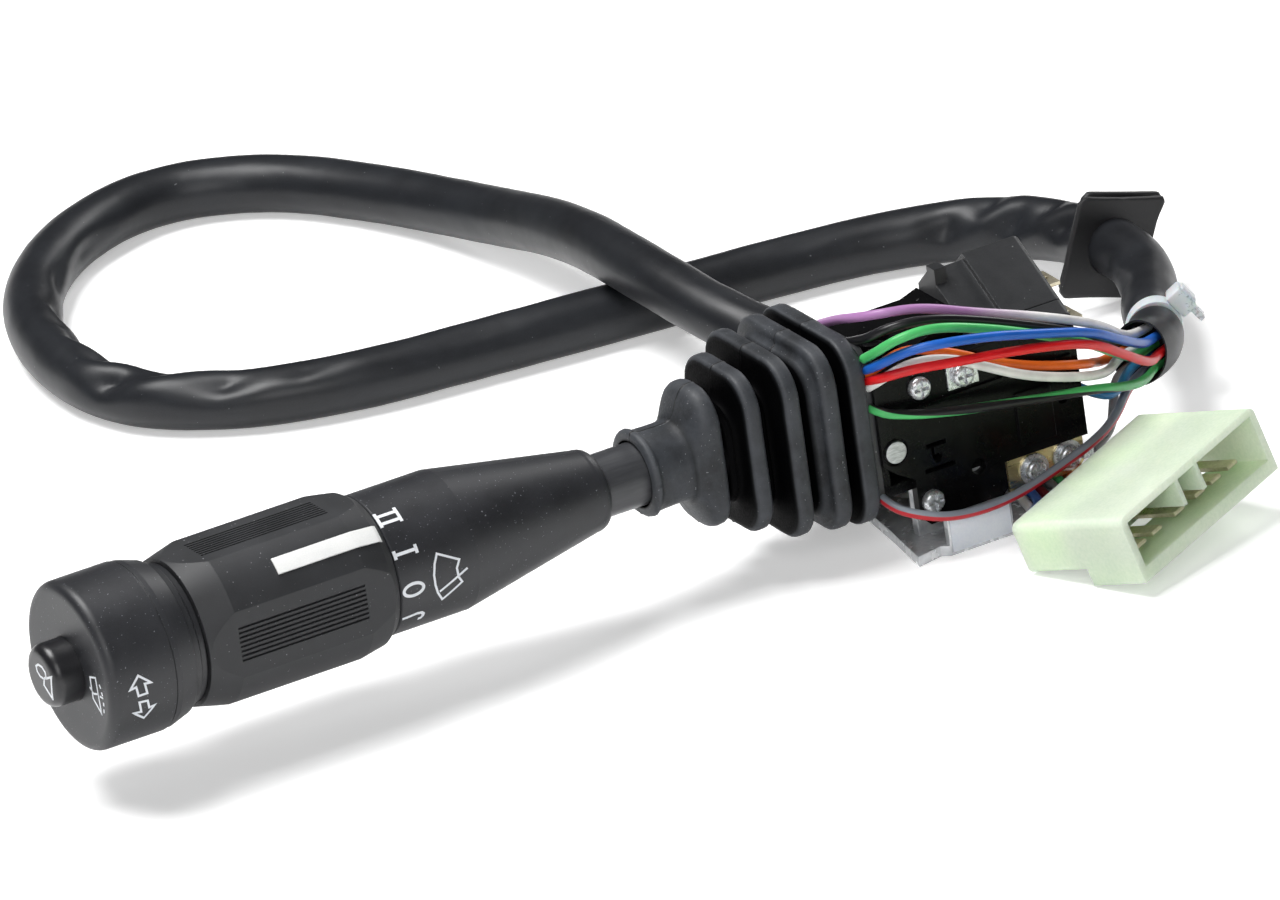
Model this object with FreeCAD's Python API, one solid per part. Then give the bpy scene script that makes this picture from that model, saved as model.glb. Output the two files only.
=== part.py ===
"""Combination stalk switch: turn signal, dip and flash, wiper, washer and horn on one lever.

Everything is drawn in the lever's own frame, in millimetres. Its origin is where the lever's axis
meets the middle of the bellows' flange, +X runs back along the lever into the housing, +Y away from
the connector and +Z up. write() then moves each piece to the part's frame, whose origin lies on the
bracket's underside, straight below the lever's axis.
"""

import FreeCAD, Part
import math
import os

V = FreeCAD.Vector
X_AXIS = V(1, 0, 0)
Y_AXIS = V(0, 1, 0)
Z_AXIS = V(0, 0, 1)

# Place of the lever's frame in the part's frame
origin_behind_flange = 18.0
axis_height = 26.0

# General clearances
running_gap = 0.05
seat_gap = 0.02
soft_gap = 0.3
wall = 2.0

# Lever tube
tube_r = 6.0
tube_wall = 1.2
tube_front = -144.0
tube_rear = 1.0

# Handle with the printed marks
handle_front = -95.9
handle_r = 13.4
handle_cone_start = -79.5
handle_cone_end = -50.1
handle_end = -47.7
handle_end_r = 7.9
handle_end_round = 1.6
handle_wall = 2.2
handle_hollow_end = -62.0
spigot_r = 10.0
spigot_front = -135.4

# Rotary wiper sleeve
sleeve_front = -135.9
sleeve_full_front = -129.9
sleeve_full_rear = -102.8
sleeve_lip = -97.9
sleeve_rear = -96.2
sleeve_r = 15.6
sleeve_front_r = 14.1
sleeve_lip_r = 14.7
sleeve_rear_r = 13.5
sleeve_flat = 14.2
rib_count = 8
rib_pitch = 0.9
rib_groove = 0.4
rib_depth = 0.4
rib_front = -129.6
rib_rear = -103.2
relief_r = 11.8
relief_front = -128.0
relief_rear = -104.0
index_front = -119.1
index_rear = -97.1
index_width = 3.3
index_raise = 0.25
detent_x = -116.0
detent_ball_r = 1.2
contact_ring_front = -124.0
contact_ring_rear = -119.5
contact_ring_wall = 1.2

# End cap, pushed for the washer
cap_front = -157.5
cap_step = -144.2
cap_rear = -139.2
cap_r = 16.1
cap_band_r = 15.9
cap_rear_r = 14.8
cap_edge_round = 2.0
cap_front_wall = 2.5
cap_groove = 0.35
guide_front = -151.0
guide_rear = -136.2
guide_r = 13.8
guide_recess = 5.0
washer_travel = 2.5
washer_wire = 0.6

# Horn button in the end cap
button_front = -163.3
button_r = 6.0
button_flange_r = 7.2
button_flange = 1.3
button_edge_round = 1.9
carrier_r = 9.5
carrier_wall = 1.4
carrier_rear = -149.0
carrier_floor = 0.8
horn_wire = 0.5
horn_spring_r = 4.0
spring_turns = 2

# Rubber bellows: collar, four pleats and the flange. Each pleat is (x, width, height, drop)
collar_front = -39.3
collar_rear = -30.0
collar_r = 7.4
collar_bead_r = 8.1
collar_bead = 1.5
pleats = ((-26.1, 17.0, 27.5, 0.0), (-19.3, 23.5, 31.5, 0.0), (-12.8, 30.0, 35.5, 0.3), (-5.4, 32.0, 36.4, 0.5))
pleat_rim = 4.2
pleat_fall = 3.4
valley_depth = 4.6
pleat_corner = 6.5
bellows_wall = 1.6
flange_width = 33.0
flange_height = 37.0
flange_drop = 0.7
flange_half = 1.8
flange_corner = 7.0
flange_opening = 20.0

# Plate that clamps the flange to the housing
boot_plate_thickness = 1.2
boot_plate_width = 30.0
boot_plate_top = 16.0
boot_plate_bottom = -16.5
boot_opening = 20.0

# Housing
housing_rear = 45.6
housing_half_depth = 14.0
housing_top = 9.3
housing_bottom = -14.5
front_plate_thickness = 2.0
tongue_left = 9.4
tongue_right = 28.0
tongue_share = 0.263
tongue_corner = 2.0
lug_r = 4.6
front_relief = 0.6
front_raised = ((31.5, 39.0, -12.5, -2.0), (9.4, 44.0, 1.4, 2.2))
front_slots = ((12.4, 16.6, -6.9, -6.0), (11.6, 18.0, -11.6, -10.7), (13.4, 14.0, -9.0, -7.0))
front_holes = ((14.6, -9.2, 0.9), (22.6, -13.6, 1.5), (41.5, -6.0, 1.1))
sink_ring = 0.55
sink_depth = 0.8
boss_r = 4.0
boss_height = 3.0
boss_place = (11.0, -4.0)
boss_wall = 1.2
boss_floor = 1.0
post_wall = 1.3

# Raised switch block on the housing, with a ramp and a copper strip on its left
block_left = 26.0
block_front_height = 0.6
block_top = 20.2
block_ridge_y = 1.0
block_back = 5.0
block_back_fall = 3.5
block_step_right = 33.6
block_step = 1.2
ear_width = 2.4
ear_depth = 3.0
ramp_left = 13.0
ramp_low = 0.6
ramp_high = 5.0
ramp_front = -10.0
ramp_back = 6.0
copper_thickness = 0.4
copper_left = 19.0
copper_front = -9.4
copper_width = 1.6
blade_width = 6.3
blade_thickness = 0.8
blade_length = 3.6
blade_places = ((-3.0, 11.6), (-10.0, 6.9))
blade_hole_r = 0.8

# Mechanism
pivot_x = 6.1
pivot_z = -5.4
pivot_r = 2.1
turn_range = 11.0
dip_x = 14.0
dip_pin_r = 1.5
dip_range = 7.0
cradle_side_gap = 2.0
inner_half = housing_half_depth - wall
cradle_half = inner_half - cradle_side_gap
cradle_wall = 2.0
cradle_left = 3.4
cradle_top = 4.2
cradle_bottom = -8.5
cradle_web = 18.5
yoke_top = 1.8
yoke_bottom = -2.6
yoke_half = 3.5
yoke_eye_r = 4.0
arm_reach = 7.6
arm_thickness = 3.2
arm_end_margin = 1.3
arm_half = inner_half / 4.8
peg_r = 1.2
slider_width = inner_half / 2.4
slider_length = 8.0
slider_height = 4.6
plunger_r = 1.5
plunger_out = 4.0
detent_gap = 0.4
notch_r = 1.3
notch_depth = 2.0
notch_plate = 5.0
notch_top = 0.6

# Bracket, its screws and the earth strip
bracket_sheet = 2.0
bracket_left = 6.0
bracket_right = 44.0
bracket_front = -22.0
bracket_back = 31.0
bracket_hole_r = 2.75
bracket_hole_spacing = 20.0
bracket_hole_y = 25.0
bracket_corner = 3.0
bracket_nose = ((4.7, 0.0), (10.0, 1.2))
bracket_waist = ((8.5, 3.0), (7.0, -8.0))
bracket_shoulder = 12.0
upstand_left = 9.6
upstand_right = 27.8
lip_height = 7.5
lip_left = 11.5
lip_right = 25.0
label_thickness = 0.15
top_screws = (("plate", (12.4, 5.5)), ("terminal", (21.3, 5.4)))
low_screws = (("tongue", 12.2, 0.263), ("earth_left", 34.2, 0.389), ("earth_right", 41.4, 0.337))
screw_head_r = 2.2
recess_long = 1.5
recess_narrow = 0.3
recess_deep = 0.7
screw_head = 1.5
screw_r = 1.2
screw_length = 5.0
strip_thickness = 0.8
strip_left = 28.9
strip_share = 0.284
strip_corner = 1.75
terminal_thickness = 0.5
ring_share = 0.316

# Connector, tilted as it lies
connector_corner = V(27.5, -66.1, -22.8)
connector_along = V(0.916, 0.375, 0.137)
connector_out = V(0.345, -0.914, 0.216)
connector_length = 41.5
connector_depth = 27.4
shroud_height = 13.2
shroud_depth = 13.0
shroud_step = 2.9
shroud_wall = 1.6
cavity_back = 11.4
connector_corner_r = 1.5
tab_thickness = 0.8
tab_width = 2.8
tab_free = 3.8
tab_row_height = 4.7
tab_row_spacing = 6.0
top_row = (0, 5.2, 13.2, 24.6, 28.8)
bottom_row = (0, 4.9, 11.9, 18.3, 23.4, 28.5)
web_places = (16.3, 22.3)
web_thickness = 1.0
web_height = 5.1
cavity_floor = 2.6
cavity_roof = 1.4
wire_entry = 6.0
tab_end = 7.0

# Cable sheath, its tie and the panel grommet
sheath_d = 11.0
wire_d = 1.8
grommet_side = 18.8
grommet_roll = 16.0
grommet_plate = 1.4
grommet_gap = 2.2
grommet_groove_side = 15.0
tie_band = 4.0
tie_thickness = 1.1
tie_head = 5.0
tie_head_depth = 3.6
tie_tail = 2.2
tie_roll = 10.0

sheath_route = (
    (65.8, -1.6, -9.3), (72.3, 4.1, -11.0), (80.6, 20.2, -12.2), (90.4, 40.0, -13.4),
    (93.1, 57.5, -14.4), (92.4, 77.0, -17.5), (84.5, 94.5, -20.0), (68.0, 103.8, -20.4),
    (46.2, 108.4, -20.4), (18.5, 112.0, -20.4), (-8.5, 116.0, -20.4), (-33.7, 120.4, -20.4),
    (-54.0, 129.7, -20.4), (-68.2, 147.0, -20.4), (-69.0, 172.5, -20.4), (-60.0, 198.0, -20.4),
    (-42.0, 218.1, -20.4), (-19.3, 226.5, -20.4), (1.0, 216.0, -20.4), (13.8, 192.6, -20.0),
    (19.8, 165.5, -17.5), (20.6, 132.6, -11.5), (18.4, 99.0, -9.0), (21.0, 76.0, -11.5),
    (28.0, 59.0, -15.5), (35.6, 44.5, -18.0),
)
tie_at = (80.6, 20.2, -12.2)
grommet_at = (93.1, 57.5, -14.4)

# Loose wires from behind the flange to the sheath's mouth
wire_routes = {
    "wire_violet_white": (
        (3.0, -12.4, 18.4), (5.8, -17.2, 22.6), (13.4, -19.0, 22.1), (24.2, -19.2, 17.6),
        (35.4, -18.8, 13.3), (46.7, -18.0, 8.2), (53.9, -13.2, 3.2), (60.6, -6.1, -2.9),
        (66.2, -1.2, -5.6)),
    "wire_black": (
        (3.0, -15.2, 17.0), (6.2, -19.8, 20.6), (14.1, -21.0, 20.3), (25.0, -21.2, 16.4),
        (36.3, -20.4, 11.3), (47.8, -18.0, 5.4), (53.4, -11.9, -0.4), (58.1, -3.7, -4.3),
        (64.3, 0.6, -6.7)),
    "wire_green": (
        (3.0, -17.6, 15.4), (6.0, -22.2, 19.0), (13.1, -23.4, 19.6), (23.8, -23.3, 15.9),
        (34.7, -22.5, 10.9), (45.1, -20.6, 5.5), (53.4, -15.1, -1.0), (61.0, -7.8, -6.9),
        (66.5, -2.4, -8.7)),
    "wire_blue": (
        (3.0, -18.2, 13.2), (7.4, -22.8, 16.4), (13.4, -25.8, 17.0), (23.2, -26.0, 15.3),
        (33.8, -25.0, 12.1), (46.0, -21.8, 7.6), (54.7, -16.3, 1.4), (62.7, -9.0, -4.3),
        (67.8, -3.3, -6.7)),
    "wire_white": (
        (2.8, -17.0, 9.4), (9.3, -19.3, 12.4), (17.0, -19.9, 11.2), (24.3, -20.0, 7.1),
        (33.0, -20.2, 2.3), (44.6, -19.5, -1.8), (52.5, -14.2, -5.0), (59.1, -5.6, -6.9),
        (65.1, -0.8, -8.7)),
    "wire_red": (
        (2.8, -19.0, 11.2), (8.8, -21.6, 12.0), (16.5, -23.8, 11.6), (25.0, -25.4, 11.1),
        (34.2, -25.6, 9.6), (45.7, -22.5, 5.7), (54.8, -17.5, -1.3), (63.2, -10.5, -7.8),
        (68.1, -4.5, -9.3)),
    "wire_orange": (
        (3.0, -16.6, 11.6), (9.6, -17.5, 14.8), (19.3, -17.6, 10.8), (26.6, -17.7, 6.6),
        (35.5, -17.9, 2.8), (46.4, -18.1, -0.2), (51.2, -10.9, -3.6), (56.6, -3.0, -7.8),
        (63.2, 1.1, -9.3)),
    "wire_green_black": (
        (2.8, -17.4, 3.8), (8.8, -19.0, 2.1), (17.5, -20.0, 0.4), (26.6, -20.2, -1.2),
        (36.4, -20.4, -2.9), (46.7, -19.6, -4.7), (54.5, -15.7, -8.1), (61.7, -9.9, -11.2),
        (67.0, -4.0, -11.8)),
    "wire_grey_red": (
        (2.8, -17.4, -14.8), (5.6, -21.4, -16.0), (11.0, -23.4, -17.7), (18.5, -23.6, -18.5),
        (26.5, -23.4, -17.9), (35.4, -22.6, -15.9), (45.2, -21.2, -13.5), (52.5, -15.2, -13.1),
        (59.2, -7.4, -12.7), (65.2, -2.2, -12.9)),
    "wire_grey": (
        (46.3, -15.9, -17.7), (51.2, -14.4, -16.8), (55.6, -8.4, -14.0), (58.8, -3.8, -12.0),
        (63.4, -0.3, -11.8)),
    "wire_light_blue": (
        (46.5, -11.0, -6.5), (50.9, -13.2, -9.8), (55.6, -11.2, -10.6), (59.9, -7.0, -9.6),
        (65.5, -1.9, -10.5)),
}

# Wires from the sheath's other end, under the housing, to the connector
feeder_colours = ("white", "blue", "dark_red", "grey", "green", "orange", "red")
feeder_pitch = 2.25
feeder_layer = -22.85
feeder_rise = 0.55
feeder_middle = 37.8
feeder_behind = 22.0
feeder_under = 4.0
feeder_front = -20.5
feeder_clear = 3.0
feeder_angles = (180, 120, 240, None, 60, 300, 0)
feeder_columns = (0, 1, 2, 3, 4, 5, 8)


def box(x0, x1, y0, y1, z0, z1):
    """Box between two corners."""
    return Part.makeBox(x1 - x0, y1 - y0, z1 - z0, V(x0, y0, z0))


def rod(radius, start, end):
    """Cylinder from one point to another."""
    way = V(*end) - V(*start)
    return Part.makeCylinder(radius, way.Length, V(*start), way)


def fuse(shapes):
    """One solid from several that meet."""
    return shapes[0].fuse(list(shapes[1:])).removeSplitter()


def turned(profile):
    """Solid of revolution about the lever's axis from (x, radius) points, closed on the axis."""
    points = [V(profile[0][0], 0, 0)]
    points += [V(x, 0, r) for x, r in profile]
    points += [V(profile[-1][0], 0, 0)]
    face = Part.Face(Part.makePolygon(points + points[:1]))
    return face.revolve(V(0, 0, 0), X_AXIS, 360)


def bored(shape, radius, x0, x1):
    """Shape with a hole along the lever's axis from x0 to x1."""
    return shape.cut(rod(radius, (x0, 0, 0), (x1, 0, 0)))


def corner_arc(start, middle, end):
    """Arc through three points."""
    return Part.Arc(V(*start), V(*middle), V(*end)).toShape()


def rounded_section(x, width, height, corner, drop=0.0):
    """Rounded rectangle in the YZ plane at x, its middle lowered by drop."""
    a = width / 2
    b = height / 2
    r = min(corner, a - 0.2, b - 0.2)
    s = r * (1 - math.sqrt(0.5))
    edges = []
    for sy, sz in ((1, 1), (-1, 1), (-1, -1), (1, -1)):
        first = (x, sy * a, sz * (b - r) - drop)
        last = (x, sy * (a - r), sz * b - drop)
        mid = (x, sy * (a - s), sz * (b - s) - drop)
        if sy * sz < 0:
            first, last = last, first
        edges.append((first, mid, last))
    wire = []
    for i, (first, mid, last) in enumerate(edges):
        wire.append(corner_arc(first, mid, last))
        following = edges[(i + 1) % len(edges)][0]
        wire.append(Part.LineSegment(V(*last), V(*following)).toShape())
    return Part.Wire(wire)


def outline_plate(points, y0, y1):
    """Plate between two Y planes from an outline of (x, z) points."""
    loop = [V(x, y0, z) for x, z in points]
    face = Part.Face(Part.makePolygon(loop + loop[:1]))
    return face.extrude(V(0, y1 - y0, 0))


def arc_route(points):
    """Wire of straight runs joined by tangent arcs, and the arcs' radii."""
    knots = [V(*p) for p in points]
    edges = []
    radii = []
    here = knots[0]
    for before, knot, after in zip(knots, knots[1:], knots[2:]):
        way_in = (knot - before).normalize()
        way_out = (after - knot).normalize()
        turn = way_in.getAngle(way_out)
        cut_back = 0.45 * min((knot - before).Length, (after - knot).Length)
        radii.append(cut_back / math.tan(turn / 2))
        start = knot - way_in * cut_back
        end = knot + way_out * cut_back
        inward = (start + end) * 0.5 - knot
        reach = inward.Length - radii[-1] * (1 - math.cos(turn / 2))
        middle = knot + inward.normalize() * reach
        edges.append(Part.LineSegment(here, start).toShape())
        edges.append(Part.Arc(start, middle, end).toShape())
        here = end
    edges.append(Part.LineSegment(here, knots[-1]).toShape())
    return Part.Wire(edges), radii


def tube_along(points, diameter):
    """Round cord along a route, with its radii and volume printed."""
    path, radii = arc_route(points)
    first = V(*points[1]) - V(*points[0])
    circle = Part.Wire(Part.makeCircle(diameter / 2, V(*points[0]), first))
    solid = path.makePipeShell([circle], True, False)
    expected = math.pi * diameter ** 2 / 4 * path.Length
    print(f"length {path.Length:.1f}, least radius {min(radii) / diameter:.1f} diameters,"
          f" volume ratio {solid.Volume / expected:.4f}")
    return solid


def coil(radius, wire, x0, x1):
    """Compression spring about the lever's axis, as a swept helix."""
    height = x1 - x0 - wire
    helix = Part.makeHelix(height / spring_turns, height, radius)
    section = Part.Wire(Part.makeCircle(wire / 2, V(radius, 0, 0), Y_AXIS))
    spring = Part.Wire(helix.Edges).makePipeShell([section], True, True)
    spring.rotate(V(0, 0, 0), Y_AXIS, 90)
    spring.translate(V(x0 + wire / 2, 0, 0))
    return spring


def mounting_bracket():
    """Bent steel plate: base with bolt ears, two upstands under the housing and a front lip."""
    low = -axis_height
    top = low + bracket_sheet
    ear_left = bracket_left - bracket_corner
    outline = [(x, bracket_front + setback) for x, setback in bracket_nose]
    outline += [
        (lip_left, bracket_front), (bracket_right, bracket_front),
        (bracket_right, bracket_back - bracket_corner), (bracket_right - bracket_corner, bracket_back),
        (ear_left, bracket_back), (ear_left, bracket_shoulder)]
    outline += list(bracket_waist)
    loop = [V(x, y, low) for x, y in outline]
    base = Part.Face(Part.makePolygon(loop + loop[:1])).extrude(V(0, 0, bracket_sheet))
    back = housing_half_depth
    front = box(upstand_left, upstand_right, -back, bracket_sheet - back, top, housing_bottom)
    rear = box(upstand_left, upstand_right, back - bracket_sheet, back, top, housing_bottom)
    lip = box(lip_left, lip_right, bracket_front, bracket_front + bracket_sheet * 0.75,
              top, low + lip_height)
    bracket = fuse([base, front, rear, lip])
    for side in (-1, 1):
        x = origin_behind_flange + side * bracket_hole_spacing / 2
        bracket = bracket.cut(rod(bracket_hole_r, (x, bracket_hole_y, low), (x, bracket_hole_y, top)))
    screw = screw_places()["tongue"]
    return bracket.cut(rod(screw_r + seat_gap, (screw[0], -back, screw[1]),
                           (screw[0], bracket_sheet - back, screw[1])))


def blank_label():
    """Bare sticker on the bracket's lip."""
    y = bracket_front
    return box(lip_left + 0.5, lip_right - 0.5, y - label_thickness, y,
               -axis_height + 0.6, -axis_height + lip_height - 0.6)


def screw_places():
    """Screw name to (x, z) on the housing's front."""
    places = dict(top_screws)
    for name, x, share in low_screws:
        places[name] = (x, housing_bottom - share * low_space())
    return places


def bracket_top():
    """Z of the bracket's upper face."""
    return bracket_sheet - axis_height


def low_space():
    """Height between the bracket and the housing."""
    return housing_bottom - bracket_top()


def plate_front():
    """Y of the front plate's outer face."""
    return -housing_half_depth - front_plate_thickness


def strip_front():
    """Y of the earth strip's outer face."""
    return -housing_half_depth - strip_thickness


def screw_seats():
    """Screw name to the Y of the face its head sits on."""
    seats = dict.fromkeys(screw_places(), plate_front())
    seats["terminal"] = plate_front() - terminal_thickness
    seats["earth_left"] = strip_front() - terminal_thickness
    seats["earth_right"] = strip_front() - terminal_thickness
    return seats


def pan_screw(x, z, seat):
    """Pan head screw along Y with a cross recess, its head in front of seat."""
    head = Part.makeCylinder(screw_head_r, screw_head, V(x, seat, z), V(0, -1, 0))
    head = head.makeFillet(screw_head * 0.6, [head.Edges[0] if head.Edges[0].CenterOfMass.y < seat - 1
                                              else head.Edges[2]])
    shank = Part.makeCylinder(screw_r, screw_length, V(x, seat, z), Y_AXIS)
    screw = fuse([head, shank])
    deep = seat - screw_head
    for a, b in ((recess_long, recess_narrow), (recess_narrow, recess_long)):
        screw = screw.cut(box(x - a, x + a, deep, deep + recess_deep, z - b, z + b))
    return screw


def screws():
    """All the pan screws as one group."""
    seats = screw_seats()
    return [pan_screw(x, z, seats[name]) for name, (x, z) in screw_places().items()]


def screw_holes(shape, names):
    """Shape with clearance holes for the named screws."""
    for name in names:
        x, z = screw_places()[name]
        hole = rod(screw_r + seat_gap, (x, -housing_half_depth - 4, z), (x, 0, z))
        shape = shape.cut(hole)
    return shape


def housing_left():
    """X where the housing starts, behind the flange and its clamping plate."""
    return flange_half + soft_gap + boot_plate_thickness


def housing_main():
    """Open-fronted shell with a mouth for the lever, a top boss and a vent row."""
    half = housing_half_depth
    left = housing_left()
    shell = box(left, housing_rear, -half, half, housing_bottom, housing_top)
    shell = shell.cut(box(left + wall, housing_rear - wall, -half, half - wall,
                          housing_bottom + wall, housing_top - wall))
    mouth = boot_opening / 2
    shell = shell.cut(box(left, left + wall, -mouth, mouth, -mouth, housing_top - wall))
    x, y = boss_place
    boss = rod(boss_r, (x, y, housing_top), (x, y, housing_top + boss_height))
    boss = boss.cut(rod(boss_r - boss_wall, (x, y, housing_top + boss_floor),
                        (x, y, housing_top + boss_height)))
    ramp = outline_plate(((ramp_left, housing_top), (ramp_left, ramp_height(ramp_left)),
                          (ramp_right(), ramp_height(ramp_right())), (ramp_right(), housing_top)),
                         ramp_front, ramp_back)
    post_end = plate_front() + screw_length
    posts = [rod(screw_r + post_wall, (x, -half, z), (x, post_end, z))
             for x, z in (screw_places()["plate"], screw_places()["terminal"])]
    posts = [post.common(box(left, housing_rear, -half, half, housing_bottom, housing_top))
             for post in posts]
    shell = fuse([shell, boss, ramp] + posts)
    shell = screw_holes(shell, ("plate", "terminal"))
    return shell.cut(rod(pivot_r + seat_gap, (pivot_x, -half, pivot_z), (pivot_x, half, pivot_z)))


def ramp_right():
    """X where the ramp on the housing ends, at the switch block."""
    return block_left - seat_gap


def ramp_height(x):
    """Height of the ramp's face at x."""
    share = (x - ramp_left) / (ramp_right() - ramp_left)
    return housing_top + ramp_low + (ramp_high - ramp_low) * share


def housing_front():
    """Front plate with the pivot lug, the screw tongue, slots and round holes."""
    left = housing_left()
    foot = bracket_top() + tongue_share * low_space()
    outline = (
        (left, housing_top - 1), (left + 1, housing_top), (housing_rear - 1, housing_top),
        (housing_rear, housing_top - 1), (housing_rear, housing_bottom), (tongue_right, housing_bottom),
        (tongue_right, foot + tongue_corner), (tongue_right - tongue_corner, foot),
        (tongue_left + tongue_corner, foot), (tongue_left, foot + tongue_corner),
        (tongue_left, pivot_z - lug_r - tongue_corner), (pivot_x, pivot_z - lug_r), (left, pivot_z - lug_r / 2),
    )
    front = plate_front()
    back = -housing_half_depth
    plate = outline_plate(outline, front, back)
    raised = [box(x0, x1, front - front_relief, front, z0, z1) for x0, x1, z0, z1 in front_raised]
    plate = fuse([plate] + raised)
    for x0, x1, z0, z1 in front_slots:
        plate = plate.cut(box(x0, x1, front, back, z0, z1))
    for x, z, r in front_holes:
        plate = plate.cut(rod(r, (x, front, z), (x, back, z)))
    plate = screw_holes(plate, ("plate", "terminal", "tongue"))
    sink = rod(pivot_r + sink_ring, (pivot_x, front, pivot_z), (pivot_x, front + sink_depth, pivot_z))
    bore = rod(pivot_r + seat_gap, (pivot_x, front, pivot_z), (pivot_x, back, pivot_z))
    return plate.cut(sink).cut(bore)


def boot_plate():
    """Plate behind the flange that holds the bellows to the housing."""
    x0 = housing_left() - boot_plate_thickness
    x1 = housing_left()
    half = boot_plate_width / 2
    plate = box(x0, x1, -half, half, boot_plate_bottom, boot_plate_top)
    edges = [e for e in plate.Edges if abs(e.tangentAt(e.FirstParameter).x) > 0.9]
    plate = plate.makeFillet(4.0, edges)
    mouth = boot_opening / 2
    return plate.cut(box(x0, x1, -mouth, mouth, -mouth, mouth))


def top_switch_block():
    """Raised block with a roof that climbs towards the back, a lower left part and an ear."""
    y0 = plate_front()
    z0 = housing_top
    points = [V(block_left, y0, z0), V(block_left, y0, z0 + block_front_height),
              V(block_left, block_ridge_y, block_top),
              V(block_left, block_back, block_top - block_back_fall), V(block_left, block_back, z0)]
    block = Part.Face(Part.makePolygon(points + points[:1])).extrude(V(housing_rear - block_left, 0, 0))
    rear_edges = [e for e in block.Edges
                  if e.BoundBox.XMin > housing_rear - 0.01 and e.BoundBox.ZMin > z0 + 0.5]
    block = block.makeFillet(1.2, rear_edges)
    lowered = block.translated(V(0, 0, -block_step))
    left_part = box(block_left, block_step_right, y0, block_back, z0, block_top)
    block = fuse([block.cut(left_part), lowered.common(left_part)])
    ear = box(block_left, block_left + ear_width, block_ridge_y - ear_depth, block_ridge_y,
              block_top - 4.0, block_top)
    parting = box(block_left + 7, housing_rear, y0 + 3.0, y0 + 3.2, z0, block_top)
    groove = parting.common(block.cut(block.translated(V(0, 0, -0.2))))
    return fuse([block, ear]).cut(groove)


def terminal_blades():
    """Two flat blades that stand out of the block's rear end."""
    blades = []
    for y, z in blade_places:
        blade = box(housing_rear, housing_rear + blade_length, y - blade_width / 2, y + blade_width / 2,
                    z - blade_thickness / 2, z + blade_thickness / 2)
        hole_x = housing_rear + blade_length - 2 * blade_hole_r
        blade = blade.cut(rod(blade_hole_r, (hole_x, y, z - 1), (hole_x, y, z + 1)))
        blades.append(blade)
    return blades


def copper_strip():
    """Thin strip that lies on the ramp beside the block."""
    left = copper_left
    right = ramp_right() - 1.0
    outline = ((left, ramp_height(left)), (right, ramp_height(right)),
               (right, ramp_height(right) + copper_thickness), (left, ramp_height(left) + copper_thickness))
    return outline_plate(outline, copper_front, copper_front + copper_width)


def terminal_plate():
    """Small square plate under the terminal screw."""
    x, z = screw_places()["terminal"]
    y = plate_front()
    plate = box(x - 3.0, x + 3.4, y - terminal_thickness, y, z - 2.4, z + 2.6)
    return screw_holes(plate, ("terminal",))


def earth_strip():
    """Plated strip below the housing that carries the two earth screws."""
    y0 = strip_front()
    y1 = -housing_half_depth
    right = housing_rear - 0.6
    low = bracket_top() + strip_share * low_space()
    points = ((strip_left, housing_bottom), (right, housing_bottom), (right, low + strip_corner),
              (right - strip_corner, low), (strip_left, low))
    strip = outline_plate(points, y0, y1)
    foot = box(strip_left, right, y0, -8.0, housing_bottom - strip_thickness, housing_bottom)
    return screw_holes(fuse([strip, foot]), ("earth_left", "earth_right"))


def ring_terminals():
    """Crimped ring terminals under the earth screws."""
    rings = []
    ring_r = ring_share * low_space()
    y1 = strip_front()
    y0 = y1 - terminal_thickness
    for name in ("earth_left", "earth_right"):
        x, z = screw_places()[name]
        ring = rod(ring_r, (x, y0, z), (x, y1, z))
        ring = ring.cut(rod(screw_r + seat_gap, (x, y0, z), (x, y1, z)))
        rings.append(ring)
    x, z = screw_places()["earth_right"]
    barrel = box(x + 0.8 * ring_r, x + ring_r + 1.6, y0 - 1.4, y1, z - 1.1, z + 1.1)
    rings[1] = fuse([rings[1], barrel])
    return rings


def pivot_rivet():
    """Turn signal pivot through the housing and the cradle."""
    front = plate_front()
    back = housing_half_depth + 0.8
    shank = rod(pivot_r, (pivot_x, front - 0.3, pivot_z), (pivot_x, back, pivot_z))
    head = rod(pivot_r + 0.6, (pivot_x, housing_half_depth, pivot_z), (pivot_x, back, pivot_z))
    return fuse([shank, head])


def pivot_cradle():
    """Frame that turns on the rivet, carries the dip pin and drives the contact slider."""
    half = cradle_half
    web = cradle_web
    body = box(cradle_left, web + wall, -half, half, cradle_bottom, cradle_top)
    inner = half - cradle_wall
    body = body.cut(box(cradle_left, web, -inner, inner, cradle_bottom + wall, cradle_top - wall))
    body = body.cut(box(cradle_left, dip_x - 5.0, -inner, inner, cradle_bottom, cradle_top))
    arm_end = contact_x()
    arm = box(web + wall, arm_end + arm_end_margin, -arm_half, arm_half,
              pivot_z - arm_thickness / 2, pivot_z + arm_thickness / 2)
    peg = rod(peg_r, (arm_end, -arm_half, pivot_z), (arm_end, arm_half + slider_width + 0.9, pivot_z))
    body = fuse([body, arm, peg])
    body = body.cut(rod(pivot_r + running_gap, (pivot_x, -half, pivot_z), (pivot_x, half, pivot_z)))
    body = body.cut(rod(dip_pin_r + seat_gap, (dip_x, 0, cradle_bottom), (dip_x, 0, cradle_top)))
    y = plunger_y()
    return body.cut(rod(plunger_r + seat_gap, (web - 0.1, y, pivot_z), (web + wall, y, pivot_z)))


def contact_x():
    """X of the cradle's peg, in the middle of the contact slider."""
    return cradle_web + wall + arm_reach


def plunger_reach():
    """Distance from the pivot to the plunger's tip."""
    return cradle_web + wall + plunger_out - pivot_x


def plunger_y():
    """Y of the detent plunger, beside the cradle's arm."""
    return -arm_half - plunger_r - 2.0


def dip_pin():
    """Upright pin of the dip and flash movement."""
    return rod(dip_pin_r, (dip_x, 0, cradle_bottom), (dip_x, 0, cradle_top + 0.3))


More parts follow.
